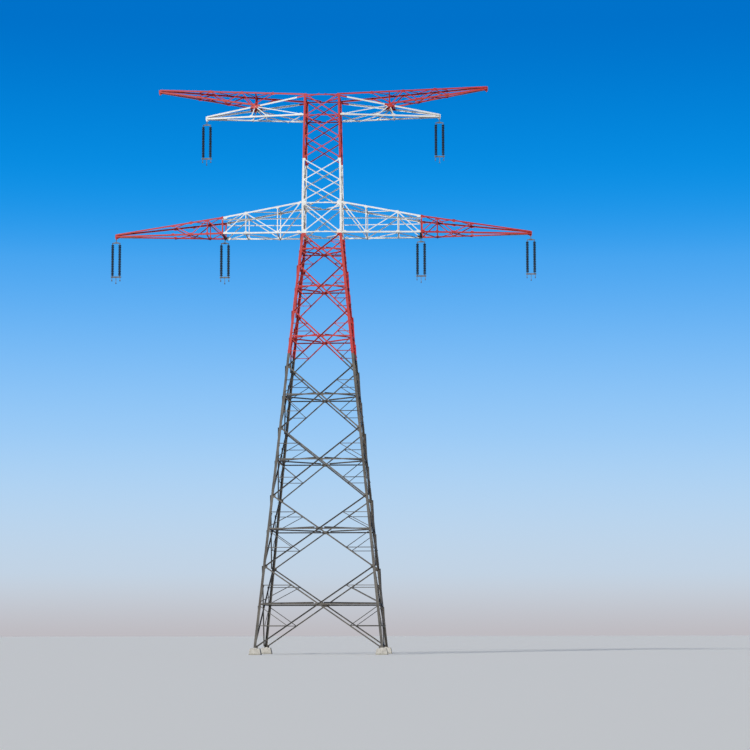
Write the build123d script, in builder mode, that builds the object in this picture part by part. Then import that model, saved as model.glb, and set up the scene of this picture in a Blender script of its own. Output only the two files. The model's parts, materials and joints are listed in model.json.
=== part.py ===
from build123d import *
from math import atan2, cos, degrees, radians
import os

# A double-circuit lattice transmission tower with two crossarm levels and two earth-wire peaks.
# Millimetres of a 1:2 scale model. X runs along the crossarms, Y along the line, Z up from the ground.

os.makedirs("parts", exist_ok=True)

# Tapered body, seven crossed panels from the piers to the lower crossarm
panel_heights = (3825, 3350, 3250, 3000, 2700, 2250, 1625)
galvanised_panels = 4
base_half = 3040
waist_half = 975
red_paint_height = 14050
foot_node_height = 40

# Cage at the lower crossarm and the shaft above it
cage_height = 1550
shaft_panel_height = 1075
white_shaft_panels = 2
red_shaft_panels = 3
top_half = 875
joint_setback = 60

# Concrete piers
pier_top_half = 230
pier_base_half = 290
pier_height = 300
pier_offset = 80

# Steel angles: flange width and wall
leg_flange = 125
leg_wall = 11
shaft_leg_flange = 95
shaft_leg_wall = 9
diagonal_flange = 62
diagonal_wall = 6
diagonal_inset = 95
side_flange = 48
side_wall = 5
side_inset = 78
chord_flange = 75
chord_wall = 8
web_flange = 45
web_wall = 5
gap = 0.5
butt_gap = 3

# Lower crossarms
lower_arm_nodes = (2150, 3700, 4800)
lower_arm_end_half = 850
lower_arm_end_depth = 850
lower_arm_reach = 10150
lower_arm_tip_depth = 165
tip_half = 87
tip_web_nodes = (5600, 6400, 7300)

# Upper crossarms
upper_arm_panels_below_top = 1
upper_arm_reach = 5725
upper_arm_tip_depth = 165
upper_chord_drop = 85
upper_deck_nodes = (1750, 2700, 3500)
upper_web_feet = (2700, 3500)
post_reach = 3300

# Earth-wire peaks
peak_reach = 8050
peak_rise = 450
peak_tip_depth = 160
peak_web_clearance = 10
peak_web_nodes = (2400, 3400, 3950, 4700, 5500, 6150)

# Hanging points and pins
hanger_wall = 16
hanger_eye_radius = 34
hanger_drop = 80
hanger_plate_inner = 180
hanger_plate_outer = 60
pin_radius = 12
pin_clearance = 1
beam_height = 60
beam_width = 90

# Insulator strings, measured down from the pin
disc_count = 18
disc_pitch = 85
disc_radius = 70
disc_core_radius = 26
disc_skirt = 38
string_spacing = 350
clevis_wall = 10
clevis_side_gap = 6
clevis_half = 20
clevis_depth = 30
crotch_drop = 44
link_half = 14
link_length = 60
yoke_height = 80
yoke_wall = 18
yoke_margin = 30
socket_half = 12
socket_length = 45
lower_yoke_height = 70
lower_yoke_half = 250
lower_yoke_wall = 50
bundle_half = 200
clamp_drop = 120
middle_clamp_drop = 250
clamp_length = 120
clamp_keel_length = 60
clamp_block_height = 34
clamp_height = 50
clamp_width = 44
clamp_bore_radius = 8
clamp_bore_drop = 17

red_paint_level = pier_height + red_paint_height
waist_level = pier_height + sum(panel_heights)
cage_top = waist_level + cage_height
paint_change_level = cage_top + white_shaft_panels * shaft_panel_height
tower_top = paint_change_level + red_shaft_panels * shaft_panel_height
upper_arm_level = tower_top - upper_arm_panels_below_top * shaft_panel_height


def half_at(level):
    """Half the tower's width at a level above the ground."""
    if level <= waist_level:
        share = (level - pier_height) / (waist_level - pier_height)
        return base_half + (waist_half - base_half) * share
    if level <= cage_top:
        return waist_half
    return waist_half + (top_half - waist_half) * (level - cage_top) / (tower_top - cage_top)


def turned(point, side):
    """A point of the front face carried round to another face, side quarter turns on."""
    return Vector(*point).rotate(Axis.Z, 90 * side)


def between(low, high, share):
    """The value a share of the way from low to high."""
    return low + (high - low) * share


def square_to(direction, run):
    """A direction made square to a run, at unit length."""
    return (direction - run * (direction.dot(run) / run.dot(run))).normalized()


def angle_bar(start, end, outward, flange, wall, seat, stand, edge=1):
    """An angle from start to end, its flat flange square to outward and seat away from the line.

    The other flange stands along outward where stand is 1 and away from it where stand is -1.
    """
    run = end - start
    facing = square_to(outward, run)
    section = Plane(origin=start + facing * seat, x_dir=facing.cross(run), z_dir=run)
    side = edge * flange / 2
    with BuildSketch(section) as profile:
        with BuildLine():
            Polyline(
                (-side, 0),
                (side, 0),
                (side, stand * flange),
                (side - edge * wall, stand * flange),
                (side - edge * wall, stand * wall),
                (-side, stand * wall),
                close=True,
            )
        make_face()
    extrude(profile.sketch, amount=run.length)


def chord(start, end, upward):
    """A crossarm angle on the front side, its corner from start to end and its ends cut upright.

    One flange lies level and points inwards; the other points up where upward is 1 and down where it is -1.
    """
    run = end - start
    with BuildSketch(Plane(origin=start, x_dir=(0, 1, 0), z_dir=(1, 0, 0))) as profile:
        with BuildLine():
            Polyline(
                (0, 0),
                (chord_flange, 0),
                (chord_flange, upward * chord_wall),
                (chord_wall, upward * chord_wall),
                (chord_wall, upward * chord_flange),
                (0, upward * chord_flange),
                close=True,
            )
        make_face()
    extrude(profile.sketch, amount=run.length, dir=run)


def web(points, outward, seat, stand, flange=web_flange, wall=web_wall):
    """A zigzag of light angles through the points, joined where they meet."""
    for start, end in zip(points, points[1:]):
        angle_bar(start, end, outward, flange, wall, seat, stand)


def corner_legs(low, high, flange, wall):
    """The four corner angles between two levels, each with its corner outwards."""
    foot = half_at(low)
    lean = half_at(high) - foot
    for side in range(4):
        rise = turned((lean, lean, high - low), side)
        with BuildSketch(Plane.XY.offset(low).rotated((0, 0, 90 * side))) as profile:
            with BuildLine():
                Polyline(
                    (foot, foot),
                    (foot - flange, foot),
                    (foot - flange, foot - wall),
                    (foot - wall, foot - wall),
                    (foot - wall, foot - flange),
                    (foot, foot - flange),
                    close=True,
                )
            make_face()
        extrude(profile.sketch, amount=rise.length, dir=rise)


def face_point(side, across, level):
    """A point in the plane of one face; across runs to the right as seen from outside."""
    return turned((across, -half_at(level), level), side)


def face_outward(side, low, high):
    """The outward normal of one face between two levels."""
    slope = (half_at(high) - half_at(low)) / (high - low)
    return turned((0, -1, -slope), side)


def crossing_level(low, high, inset):
    """The level at which a panel's two diagonals cross."""
    low_half = half_at(low) - inset
    high_half = half_at(high) - inset
    return between(low, high, low_half / (low_half + high_half))


def diagonal_side(low, high, height):
    """How far from the middle of its face a diagonal reaches at a height above the crossing."""
    level_run = half_at(low) + half_at(high) - 2 * diagonal_inset
    length = (level_run**2 + (high - low) ** 2) ** 0.5
    return (height * level_run + diagonal_flange / 2 * length) / (high - low)


def body_panel(side, low, high):
    """One crossed panel: two diagonals on either side of the leg flanges, and a strut each side of the crossing."""
    outward = face_outward(side, low, high)
    low_reach = half_at(low) - diagonal_inset
    high_reach = half_at(high) - diagonal_inset
    inner_seat = -leg_wall - gap
    for hand, seat in ((1, gap), (-1, inner_seat)):
        start = face_point(side, -hand * low_reach, low)
        end = face_point(side, hand * high_reach, high)
        angle_bar(start, end, outward, diagonal_flange, diagonal_wall, seat, hand)
    middle = crossing_level(low, high, diagonal_inset)
    strut_low = diagonal_side(low, high, diagonal_flange / 2) + butt_gap
    strut_high = half_at(middle) - leg_wall - diagonal_flange - 2 * butt_gap
    for hand in (-1, 1):
        angle_bar(
            face_point(side, hand * strut_low, middle),
            face_point(side, hand * strut_high, middle),
            outward,
            diagonal_flange,
            diagonal_wall,
            inner_seat,
            -1,
            hand,
        )


def diamond(level, depth, corner, flange, wall):
    """A level frame of four angles from face to face, its underside at level.

    Each angle ends a corner's length from the middle of its two faces, and depth inside them.
    """
    reach = half_at(level) - depth
    for side in range(4):
        angle_bar(
            turned((corner, -reach, level), side),
            turned((reach, -corner, level), side),
            Vector(0, 0, 1),
            flange,
            wall,
            0,
            1,
        )


def side_cross(side, low, high, leg_thickness):
    """A crossed panel of light angles in one flat layer, for the cage and the shaft."""
    outward = face_outward(side, low, high)
    low_reach = half_at(low) - side_inset
    high_reach = half_at(high) - side_inset
    for hand in (1, -1):
        angle_bar(
            face_point(side, -hand * low_reach, low),
            face_point(side, hand * high_reach, high),
            outward,
            side_flange,
            side_wall,
            -leg_thickness - gap,
            -1,
            hand,
        )


def side_strut(side, level, leg_thickness):
    """A level strut from leg to leg in the same layer."""
    reach = half_at(level) - leg_thickness - side_flange - butt_gap
    angle_bar(
        face_point(side, -reach, level),
        face_point(side, reach, level),
        face_outward(side, level - 1, level + 1),
        side_flange,
        side_wall,
        -leg_thickness - gap,
        -1,
    )


def deck(reaches, half_of, level_of, facing):
    """A zigzag from side to side between a pair of chords, laid on their outer faces."""
    points = []
    for count, reach in enumerate(reaches):
        hand = 1 if count % 2 else -1
        points.append(Vector(reach, hand * (half_of(reach) - chord_flange / 2), level_of(reach)))
    web(points, facing, 2 * gap, 1)


def crosspiece(reach, half_of, level_of, facing):
    """One bar from side to side between a pair of chords, laid on their outer faces."""
    half = half_of(reach) - chord_flange / 2
    level = level_of(reach)
    web((Vector(reach, -half, level), Vector(reach, half, level)), facing, 2 * gap, 1)


def save(piece, name):
    """Label a finished piece and write its file."""
    piece.part.label = name
    export_step(piece.part, f"parts/{name}.step")


# Panel levels, with the lowest diagonals starting just above the piers
levels = [pier_height + foot_node_height]
for count in range(len(panel_heights)):
    levels.append(pier_height + sum(panel_heights[: count + 1]))
levels[-1] -= joint_setback
galvanised_levels = levels[: galvanised_panels + 1]
red_levels = levels[galvanised_panels:]

# Concrete piers under the four legs
with BuildPart() as footings:
    pier_centre = half_at(pier_height) - pier_offset
    pier_batter = degrees(atan2(pier_base_half - pier_top_half, pier_height))
    with BuildSketch() as pier_base:
        with GridLocations(2 * pier_centre, 2 * pier_centre, 2, 2):
            Rectangle(2 * pier_base_half, 2 * pier_base_half)
    extrude(pier_base.sketch, amount=pier_height, taper=pier_batter)
save(footings, "footings")

# Corner legs, in the lengths that the paint bands divide
with BuildPart() as lower_legs:
    corner_legs(pier_height, red_paint_level, leg_flange, leg_wall)
save(lower_legs, "lower_legs")

with BuildPart() as red_legs:
    corner_legs(red_paint_level, waist_level, leg_flange, leg_wall)
save(red_legs, "red_legs")

with BuildPart() as cage_legs:
    corner_legs(waist_level, cage_top, shaft_leg_flange, shaft_leg_wall)
save(cage_legs, "cage_legs")

with BuildPart() as white_shaft_legs:
    corner_legs(cage_top, paint_change_level, shaft_leg_flange, shaft_leg_wall)
save(white_shaft_legs, "white_shaft_legs")

with BuildPart() as red_shaft_legs:
    corner_legs(paint_change_level, tower_top, shaft_leg_flange, shaft_leg_wall)
save(red_shaft_legs, "red_shaft_legs")

# Galvanised bracing of the body, one piece for each face
for side, name in enumerate(("front", "right", "back", "left")):
    with BuildPart() as lower_bracing:
        for low, high in zip(galvanised_levels, galvanised_levels[1:]):
            body_panel(side, low, high)
    save(lower_bracing, f"{name}_lower_bracing")

# Red bracing of the body
with BuildPart() as red_bracing:
    for side in range(4):
        for low, high in zip(red_levels, red_levels[1:]):
            body_panel(side, low, high)
save(red_bracing, "red_bracing")

# Level frames inside the body, laid on the struts of the four faces
strut_depth = leg_wall + diagonal_flange / 2


def body_diamonds(panel_levels):
    """The level frames at the crossings of these panels, clear of the diagonals."""
    for low, high in zip(panel_levels, panel_levels[1:]):
        underside = diagonal_flange / 2 + 4 * gap
        corner = diagonal_side(low, high, underside + diagonal_flange) + diagonal_flange
        level = crossing_level(low, high, diagonal_inset) + underside
        diamond(level, strut_depth, corner, diagonal_flange, diagonal_wall)


with BuildPart() as lower_diaphragms:
    body_diamonds(galvanised_levels)
save(lower_diaphragms, "lower_diaphragms")

with BuildPart() as red_diaphragms:
    body_diamonds(red_levels)
save(red_diaphragms, "red_diaphragms")

# Flat sides of the cage and the shaft
cage_low = waist_level + joint_setback
cage_high = cage_top - joint_setback
with BuildPart() as cage_sides:
    for side in range(4):
        side_cross(side, cage_low, cage_high, shaft_leg_wall)
        side_strut(side, cage_low, shaft_leg_wall)
        side_strut(side, cage_high, shaft_leg_wall)
save(cage_sides, "cage_sides")

with BuildPart() as white_shaft_sides:
    panel = (paint_change_level - cage_top - 2 * joint_setback) / white_shaft_panels
    for side in range(4):
        for count in range(white_shaft_panels):
            low = cage_top + joint_setback + count * panel
            side_cross(side, low, low + panel, shaft_leg_wall)
save(white_shaft_sides, "white_shaft_sides")

red_shaft_low = paint_change_level + joint_setback
red_shaft_high = tower_top - joint_setback
with BuildPart() as red_shaft_sides:
    panel = (red_shaft_high - red_shaft_low) / red_shaft_panels
    for side in range(4):
        for count in range(red_shaft_panels):
            low = red_shaft_low + count * panel
            side_cross(side, low, low + panel, shaft_leg_wall)
        side_strut(side, red_shaft_high, shaft_leg_wall)
        side_strut(side, upper_arm_level, shaft_leg_wall)
save(red_shaft_sides, "red_shaft_sides")

side_depth = shaft_leg_wall + side_flange / 2
frame_rise = side_flange / 2 + 2 * gap
with BuildPart() as white_frames:
    diamond(cage_low + frame_rise, side_depth, 3 * side_flange, side_flange, side_wall)
    diamond(cage_high + frame_rise, side_depth, 3 * side_flange, side_flange, side_wall)
save(white_frames, "white_frames")

with BuildPart() as red_frames:
    diamond(upper_arm_level + frame_rise, side_depth, 3 * side_flange, side_flange, side_wall)
    diamond(red_shaft_high + frame_rise, side_depth, 3 * side_flange, side_flange, side_wall)
save(red_frames, "red_frames")

# Shape of the lower crossarm: a box beside the tower, then a pyramid out to the tip
up = Vector(0, 0, 1)
half_chord = chord_flange / 2
inner_seat = -chord_wall - gap
box_root = waist_half
box_end = lower_arm_nodes[-1]


def box_half(reach):
    """Half the depth of the lower crossarm along the line."""
    if reach < box_end:
        return between(waist_half, lower_arm_end_half, (reach - box_root) / (box_end - box_root))
    return between(lower_arm_end_half, tip_half, (reach - box_end) / (lower_arm_reach - box_end))


def box_top(reach):
    """Level of the lower crossarm's top chords."""
    box_end_top = waist_level + lower_arm_end_depth
    if reach < box_end:
        return between(cage_top, box_end_top, (reach - box_root) / (box_end - box_root))
    tip_top = waist_level + lower_arm_tip_depth
    return between(box_end_top, tip_top, (reach - box_end) / (lower_arm_reach - box_end))


def box_floor(reach):
    """Level of the lower crossarm's bottom chords, which run level."""
    return waist_level


def box_low(reach):
    """A place on the front bottom chord, half way up its flange."""
    return Vector(reach, -box_half(reach), box_floor(reach) + half_chord)


def box_high(reach):
    """A place on the front top chord, half way down its flange."""
    return Vector(reach, -box_half(reach), box_top(reach) - half_chord)


def lower_chords(low_reach, high_reach):
    """The four chords of the lower crossarm between two places."""
    for level_of, upward in ((box_floor, 1), (box_top, -1)):
        start = Vector(low_reach, -box_half(low_reach), level_of(low_reach))
        end = Vector(high_reach, -box_half(high_reach), level_of(high_reach))
        chord(start, end, upward)
    mirror(about=Plane.XZ)


def mirrored(piece, name):
    """Save a right-hand piece and its mirror image on the left."""
    save(piece, f"right_{name}")
    with BuildPart() as left_piece:
        mirror(piece.part, about=Plane.YZ)
    save(left_piece, f"left_{name}")


with BuildPart() as lower_arm_chords:
    lower_chords(box_root + butt_gap, box_end - gap)
mirrored(lower_arm_chords, "lower_arm_chords")

with BuildPart() as lower_arm_tip_chords:
    lower_chords(box_end + gap, lower_arm_reach)
mirrored(lower_arm_tip_chords, "lower_arm_tip_chords")

# Bracing of the box: upright sides inside the chords, zigzags below and above them
inner_node, outer_node, end_node = lower_arm_nodes
web_start = box_root + butt_gap + web_flange
web_end = end_node - web_flange
beam_side = beam_width / 2 + web_flange
box_top_facing = Vector(box_top(box_root) - box_top(box_end), 0, box_end - box_root)
box_side_facing = Vector(waist_half - lower_arm_end_half, box_root - box_end, 0)
with BuildPart() as lower_arm_bracing:
    zigzag = (box_high(web_start), box_low(inner_node), box_high(outer_node), box_low(web_end))
    web(zigzag, box_side_facing, inner_seat, -1)
    for reach in (inner_node, outer_node):
        web((box_low(reach), box_high(reach)), box_side_facing, inner_seat, -1)
    mirror(about=Plane.XZ)
    deck((web_start, inner_node, outer_node, end_node - beam_side), box_half, box_floor, -up)
    deck((web_start, inner_node, outer_node, web_end), box_half, box_top, box_top_facing)
    for reach in (inner_node, outer_node):
        crosspiece(reach, box_half, box_floor, -up)
        crosspiece(reach, box_half, box_top, box_top_facing)
mirrored(lower_arm_bracing, "lower_arm_bracing")

# Bracing of the pyramid
tip_start = box_end + web_flange
tip_top_facing = Vector(lower_arm_end_depth - lower_arm_tip_depth, 0, lower_arm_reach - box_end)
tip_side_facing = Vector(lower_arm_end_half - tip_half, box_end - lower_arm_reach, 0)
with BuildPart() as lower_arm_tip_bracing:
    zigzag = []
    for count, reach in enumerate((tip_start, *tip_web_nodes)):
        zigzag.append(box_high(reach) if count % 2 else box_low(reach))
    web(zigzag, tip_side_facing, inner_seat, -1)
    end_post = (box_low(tip_start), box_high(tip_start))
    web(end_post, tip_side_facing, inner_seat, -1, diagonal_flange, diagonal_wall)
    post = tip_web_nodes[0]
    web((box_low(post), box_high(post)), tip_side_facing, inner_seat, -1)
    mirror(about=Plane.XZ)
    deck((box_end + beam_side, *tip_web_nodes), box_half, box_floor, -up)
    deck((tip_start, *tip_web_nodes), box_half, box_top, tip_top_facing)
    crosspiece(post, box_half, box_floor, -up)
    crosspiece(post, box_half, box_top, tip_top_facing)
mirrored(lower_arm_tip_bracing, "lower_arm_tip_bracing")


def hanger_plate(reach, top, eye_level):
    """An upright plate across the crossarm's tip, from top down to a round eye for the pin."""
    shoulder = eye_level + hanger_drop
    with BuildSketch(Plane.XZ.offset(-hanger_wall / 2)) as profile:
        with BuildLine():
            Polyline(
                (reach - hanger_plate_inner, top),
                (reach + hanger_plate_outer, top),
                (reach + hanger_plate_outer, shoulder),
                (reach + hanger_eye_radius, eye_level),
                (reach - hanger_eye_radius, eye_level),
                (reach - hanger_plate_inner, shoulder),
                close=True,
            )
        make_face()
        with Locations((reach, eye_level)):
            Circle(hanger_eye_radius)
            Circle(pin_radius + pin_clearance, mode=Mode.SUBTRACT)
    extrude(profile.sketch, amount=hanger_wall)


# Transverse channels that carry the inner strings, under the bottom chords
beam_top = waist_level - gap
inner_eye_level = beam_top - beam_height - hanger_drop
with BuildPart() as hanging_beams:
    beam_length = 2 * lower_arm_end_half
    with Locations((box_end, 0, beam_top - beam_height / 2)):
        Box(beam_width, beam_length, beam_height)
    with Locations((box_end, 0, beam_top - beam_height / 2 - chord_wall)):
        Box(beam_width - 2 * chord_wall, beam_length, beam_height, mode=Mode.SUBTRACT)
    hanger_plate(box_end, beam_top - chord_wall, inner_eye_level)
    mirror(about=Plane.YZ)
save(hanging_beams, "hanging_beams")

# Plates at the tips of the crossarms, held between the converging chords
outer_eye_level = waist_level - hanger_drop
with BuildPart() as lower_arm_tip_plates:
    hanger_plate(lower_arm_reach, waist_level + lower_arm_tip_depth, outer_eye_level)
    mirror(about=Plane.YZ)
save(lower_arm_tip_plates, "lower_arm_tip_plates")

upper_eye_level = upper_arm_level - hanger_drop
with BuildPart() as upper_arm_tip_plates:
    hanger_plate(upper_arm_reach, upper_arm_level + upper_arm_tip_depth, upper_eye_level)
    mirror(about=Plane.YZ)
save(upper_arm_tip_plates, "upper_arm_tip_plates")


def upper_share(reach):
    """How far along the upper crossarm a place is."""
    return (reach - top_half) / (upper_arm_reach - top_half)


def upper_half(reach):
    """Half the depth of the upper crossarm along the line."""
    return between(top_half, tip_half, upper_share(reach))


def upper_floor(reach):
    """Level of the upper crossarm's bottom chords, which run level."""
    return upper_arm_level


def upper_top(reach):
    """Level of the upper crossarm's top chords."""
    root_top = tower_top - upper_chord_drop
    return between(root_top, upper_arm_level + upper_arm_tip_depth, upper_share(reach))


# Upper crossarms: four white chords from the shaft to the tip
with BuildPart() as upper_arm_chords:
    for level_of, upward in ((upper_floor, 1), (upper_top, -1)):
        root = half_at(level_of(top_half) - chord_flange) + butt_gap
        start = Vector(root, -upper_half(root), level_of(root))
        end = Vector(upper_arm_reach, -tip_half, level_of(upper_arm_reach))
        chord(start, end, upward)
    mirror(about=Plane.XZ)
mirrored(upper_arm_chords, "upper_arm_chords")

upper_side_facing = Vector(top_half - tip_half, top_half - upper_arm_reach, 0)
with BuildPart() as upper_arm_bracing:
    knee = Vector(post_reach, -upper_half(post_reach), upper_top(post_reach) - half_chord)
    foot = half_at(upper_arm_level) + butt_gap + web_flange
    for reach in (foot, *upper_web_feet):
        heel = Vector(reach, -upper_half(reach), upper_arm_level + half_chord)
        web((heel, knee), upper_side_facing, inner_seat, -1)
    mirror(about=Plane.XZ)
    deck((foot, *upper_deck_nodes), upper_half, upper_floor, -up)
mirrored(upper_arm_bracing, "upper_arm_bracing")

# Earth-wire peaks, on the tower's top corners and on a cross frame over the upper crossarm
peak_foot_level = upper_top(post_reach - web_flange) + 2 * gap
peak_tip_level = tower_top + peak_rise
peak_low_tip = peak_tip_level - peak_tip_depth


def peak_half(reach):
    """Half the depth of the peak at its top chords."""
    return between(top_half, tip_half, (reach - top_half) / (peak_reach - top_half))


def peak_top(reach):
    """Level of the peak's top chords."""
    return between(tower_top, peak_tip_level, (reach - top_half) / (peak_reach - top_half))


def peak_low_half(reach):
    """Half the depth of the peak at its bottom chords."""
    share = (reach - post_reach) / (peak_reach - post_reach)
    return between(upper_half(post_reach), tip_half, share)


def peak_floor(reach):
    """Level of the peak's bottom chords."""
    share = (reach - post_reach) / (peak_reach - post_reach)
    return between(peak_foot_level, peak_low_tip, share)


with BuildPart() as peak_chords:
    root = top_half + butt_gap
    chord(
        Vector(root, -peak_half(root), peak_top(root)),
        Vector(peak_reach, -tip_half, peak_tip_level),
        -1,
    )
    chord(
        Vector(post_reach + gap, -peak_low_half(post_reach), peak_foot_level),
        Vector(peak_reach, -tip_half, peak_low_tip),
        1,
    )
    mirror(about=Plane.XZ)
mirrored(peak_chords, "peak_chords")

# Sides of the peak lean in towards the bottom chords, so their bars stand clear inside the flanges
peak_inset = chord_wall + peak_web_clearance
peak_top_facing = Vector(-peak_rise, 0, peak_reach - top_half)
peak_floor_facing = Vector(peak_low_tip - peak_foot_level, 0, post_reach - peak_reach)
peak_lean = peak_half(post_reach) - peak_low_half(post_reach)
peak_side_facing = Vector(0, peak_foot_level - peak_top(post_reach), -peak_lean)
with BuildPart() as peak_bracing:
    zigzag = []
    for count, reach in enumerate(peak_web_nodes):
        if count % 2:
            zigzag.append(Vector(reach, peak_inset - peak_low_half(reach), peak_floor(reach) + half_chord))
        else:
            level = peak_top(reach) - half_chord - peak_web_clearance
            zigzag.append(Vector(reach, peak_inset - peak_half(reach), level))
    web(zigzag, peak_side_facing, 0, -1)
    mirror(about=Plane.XZ)
    deck(peak_web_nodes, peak_half, peak_top, peak_top_facing)
    deck(peak_web_nodes[2:], peak_low_half, peak_floor, peak_floor_facing)
mirrored(peak_bracing, "peak_bracing")

# Red cross frames that carry the peaks on the upper crossarms' top chords
with BuildPart() as peak_frames:
    side_clear = peak_inset + 2 * web_flange + butt_gap
    low_half = peak_low_half(post_reach) - side_clear
    high_half = peak_half(post_reach) - side_clear
    low = peak_foot_level + web_flange / 2
    high = peak_top(post_reach) - chord_wall - web_flange
    towards_tower = Vector(-1, 0, 0)
    foot_left, foot_right, head_right, head_left = (
        Vector(post_reach, -low_half, low),
        Vector(post_reach, low_half, low),
        Vector(post_reach, high_half, high),
        Vector(post_reach, -high_half, high),
    )
    web((foot_left, head_right, head_left, foot_right, head_right), towards_tower, gap, 1)
    web((foot_left, head_left), towards_tower, gap, 1)
    beam_half = peak_low_half(post_reach) - butt_gap
    web((Vector(post_reach, -beam_half, low), Vector(post_reach, beam_half, low)), towards_tower, gap, 1)
    mirror(about=Plane.YZ)
save(peak_frames, "peak_frames")

# Plates at the peaks' tips, for the earth wires
peak_eye_level = peak_low_tip - hanger_drop
with BuildPart() as peak_tip_plates:
    hanger_plate(peak_reach, peak_tip_level, peak_eye_level)
    mirror(about=Plane.YZ)
save(peak_tip_plates, "peak_tip_plates")

# One insulator string, made with its pin at the origin
disc_top = crotch_drop + clevis_depth + link_length + yoke_height + socket_length
disc_bottom = disc_top + disc_count * disc_pitch
flat_share = cos(radians(30))
disc_slope = degrees(atan2((disc_radius - disc_core_radius) * flat_share, disc_skirt))
with BuildPart() as disc_chains:
    for across in (-string_spacing / 2, string_spacing / 2):
        with BuildSketch(Plane((across, 0, -disc_bottom))) as core:
            RegularPolygon(disc_core_radius, 6)
        extrude(core.sketch, amount=disc_count * disc_pitch)
        for count in range(disc_count):
            rim_level = -disc_top - count * disc_pitch - 2 * disc_skirt
            with BuildSketch(Plane((across, 0, rim_level))) as rim:
                RegularPolygon(disc_radius, 6)
            extrude(rim.sketch, amount=disc_skirt, taper=disc_slope)

with BuildPart() as string_fittings:
    # Clevis and its pin
    cheek_place = hanger_wall / 2 + clevis_side_gap + clevis_wall / 2
    with BuildSketch(Plane.XZ) as cheek:
        Circle(clevis_half)
        with Locations((0, -(crotch_drop + clevis_depth) / 2)):
            Rectangle(2 * clevis_half, crotch_drop + clevis_depth)
    for place in (-cheek_place, cheek_place):
        with Locations((0, place, 0)):
            add(extrude(cheek.sketch, amount=clevis_wall / 2, both=True, mode=Mode.PRIVATE))
    with Locations((0, 0, -crotch_drop - clevis_depth / 2)):
        Box(2 * clevis_half, 2 * cheek_place, clevis_depth)
    Cylinder(pin_radius, 2 * cheek_place + clevis_wall, rotation=(90, 0, 0))
    # Link and upper yoke
    link_top = crotch_drop + clevis_depth
    with Locations((0, 0, -link_top - link_length / 2)):
        Box(2 * link_half, 2 * link_half, link_length)
    yoke_top = link_top + link_length
    yoke_bottom = yoke_top + yoke_height
    with BuildSketch(Plane.XZ.offset(-yoke_wall / 2)) as yoke:
        with BuildLine():
            Polyline(
                (-link_half - yoke_margin, -yoke_top),
                (link_half + yoke_margin, -yoke_top),
                (string_spacing / 2 + yoke_margin, -yoke_bottom + yoke_margin),
                (string_spacing / 2 + yoke_margin, -yoke_bottom),
                (-string_spacing / 2 - yoke_margin, -yoke_bottom),
                (-string_spacing / 2 - yoke_margin, -yoke_bottom + yoke_margin),
                close=True,
            )
        make_face()
    extrude(yoke.sketch, amount=yoke_wall)
    for across in (-string_spacing / 2, string_spacing / 2):
        with Locations((across, 0, -yoke_bottom)):
            Box(2 * socket_half, 2 * socket_half, 2 * (socket_length - gap))
    # Lower yoke with the three clamps of the conductor bundle
    lower_yoke_top = disc_bottom + socket_length
    lower_yoke_bottom = lower_yoke_top + lower_yoke_height
    for across in (-string_spacing / 2, string_spacing / 2):
        with Locations((across, 0, -lower_yoke_top)):
            Box(2 * socket_half, 2 * socket_half, 2 * (socket_length - gap))
    with Locations((0, 0, -lower_yoke_top - lower_yoke_height / 2)):
        Box(2 * lower_yoke_half, lower_yoke_wall, lower_yoke_height)
    for across, drop in ((-bundle_half, clamp_drop), (0, middle_clamp_drop), (bundle_half, clamp_drop)):
        with Locations((across, 0, -lower_yoke_bottom)):
            Box(2 * socket_half, 2 * socket_half, drop - gap, align=(Align.CENTER, Align.CENTER, Align.MAX))
        clamp_top = -lower_yoke_bottom - drop
        with BuildSketch(Plane.YZ.offset(across - clamp_width / 2)) as clamp:
            with BuildLine():
                Polyline(
                    (-clamp_length / 2, clamp_top),
                    (clamp_length / 2, clamp_top),
                    (clamp_length / 2, clamp_top - clamp_block_height),
                    (clamp_keel_length / 2, clamp_top - clamp_height),
                    (-clamp_keel_length / 2, clamp_top - clamp_height),
                    (-clamp_length / 2, clamp_top - clamp_block_height),
                    close=True,
                )
            make_face()
        extrude(clamp.sketch, amount=clamp_width)
        with Locations((across, 0, clamp_top - clamp_bore_drop)):
            Cylinder(clamp_bore_radius, clamp_length, rotation=(90, 0, 0), mode=Mode.SUBTRACT)

# The six strings, hung from the crossarms' eyes
hanging_points = {
    "lower_outer": (lower_arm_reach, outer_eye_level),
    "lower_inner": (box_end, inner_eye_level),
    "upper": (upper_arm_reach, upper_eye_level),
}
for hand, hand_name in ((-1, "left"), (1, "right")):
    for name, (reach, eye_level) in hanging_points.items():
        with BuildPart() as discs:
            with Locations((hand * reach, 0, eye_level)):
                add(disc_chains.part)
        save(discs, f"{hand_name}_{name}_discs")
        with BuildPart() as fittings:
            with Locations((hand * reach, 0, eye_level)):
                add(string_fittings.part)
        save(fittings, f"{hand_name}_{name}_fittings")
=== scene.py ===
import json
from math import radians

import bpy
import numpy as np
from mathutils import Euler, Matrix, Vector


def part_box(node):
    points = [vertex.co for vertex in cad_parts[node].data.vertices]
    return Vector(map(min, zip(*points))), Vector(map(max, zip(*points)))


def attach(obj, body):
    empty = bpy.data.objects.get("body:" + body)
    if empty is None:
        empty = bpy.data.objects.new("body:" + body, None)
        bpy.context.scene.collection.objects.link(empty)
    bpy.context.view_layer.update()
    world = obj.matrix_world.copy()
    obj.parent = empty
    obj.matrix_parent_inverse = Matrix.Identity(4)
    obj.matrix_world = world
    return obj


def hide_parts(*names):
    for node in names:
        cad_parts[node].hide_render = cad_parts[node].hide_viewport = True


# Looks of a red, white and galvanised lattice tower, in metres of the 1:2 model.
# X runs along the crossarms, Y along the line, Z up from the ground.

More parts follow.
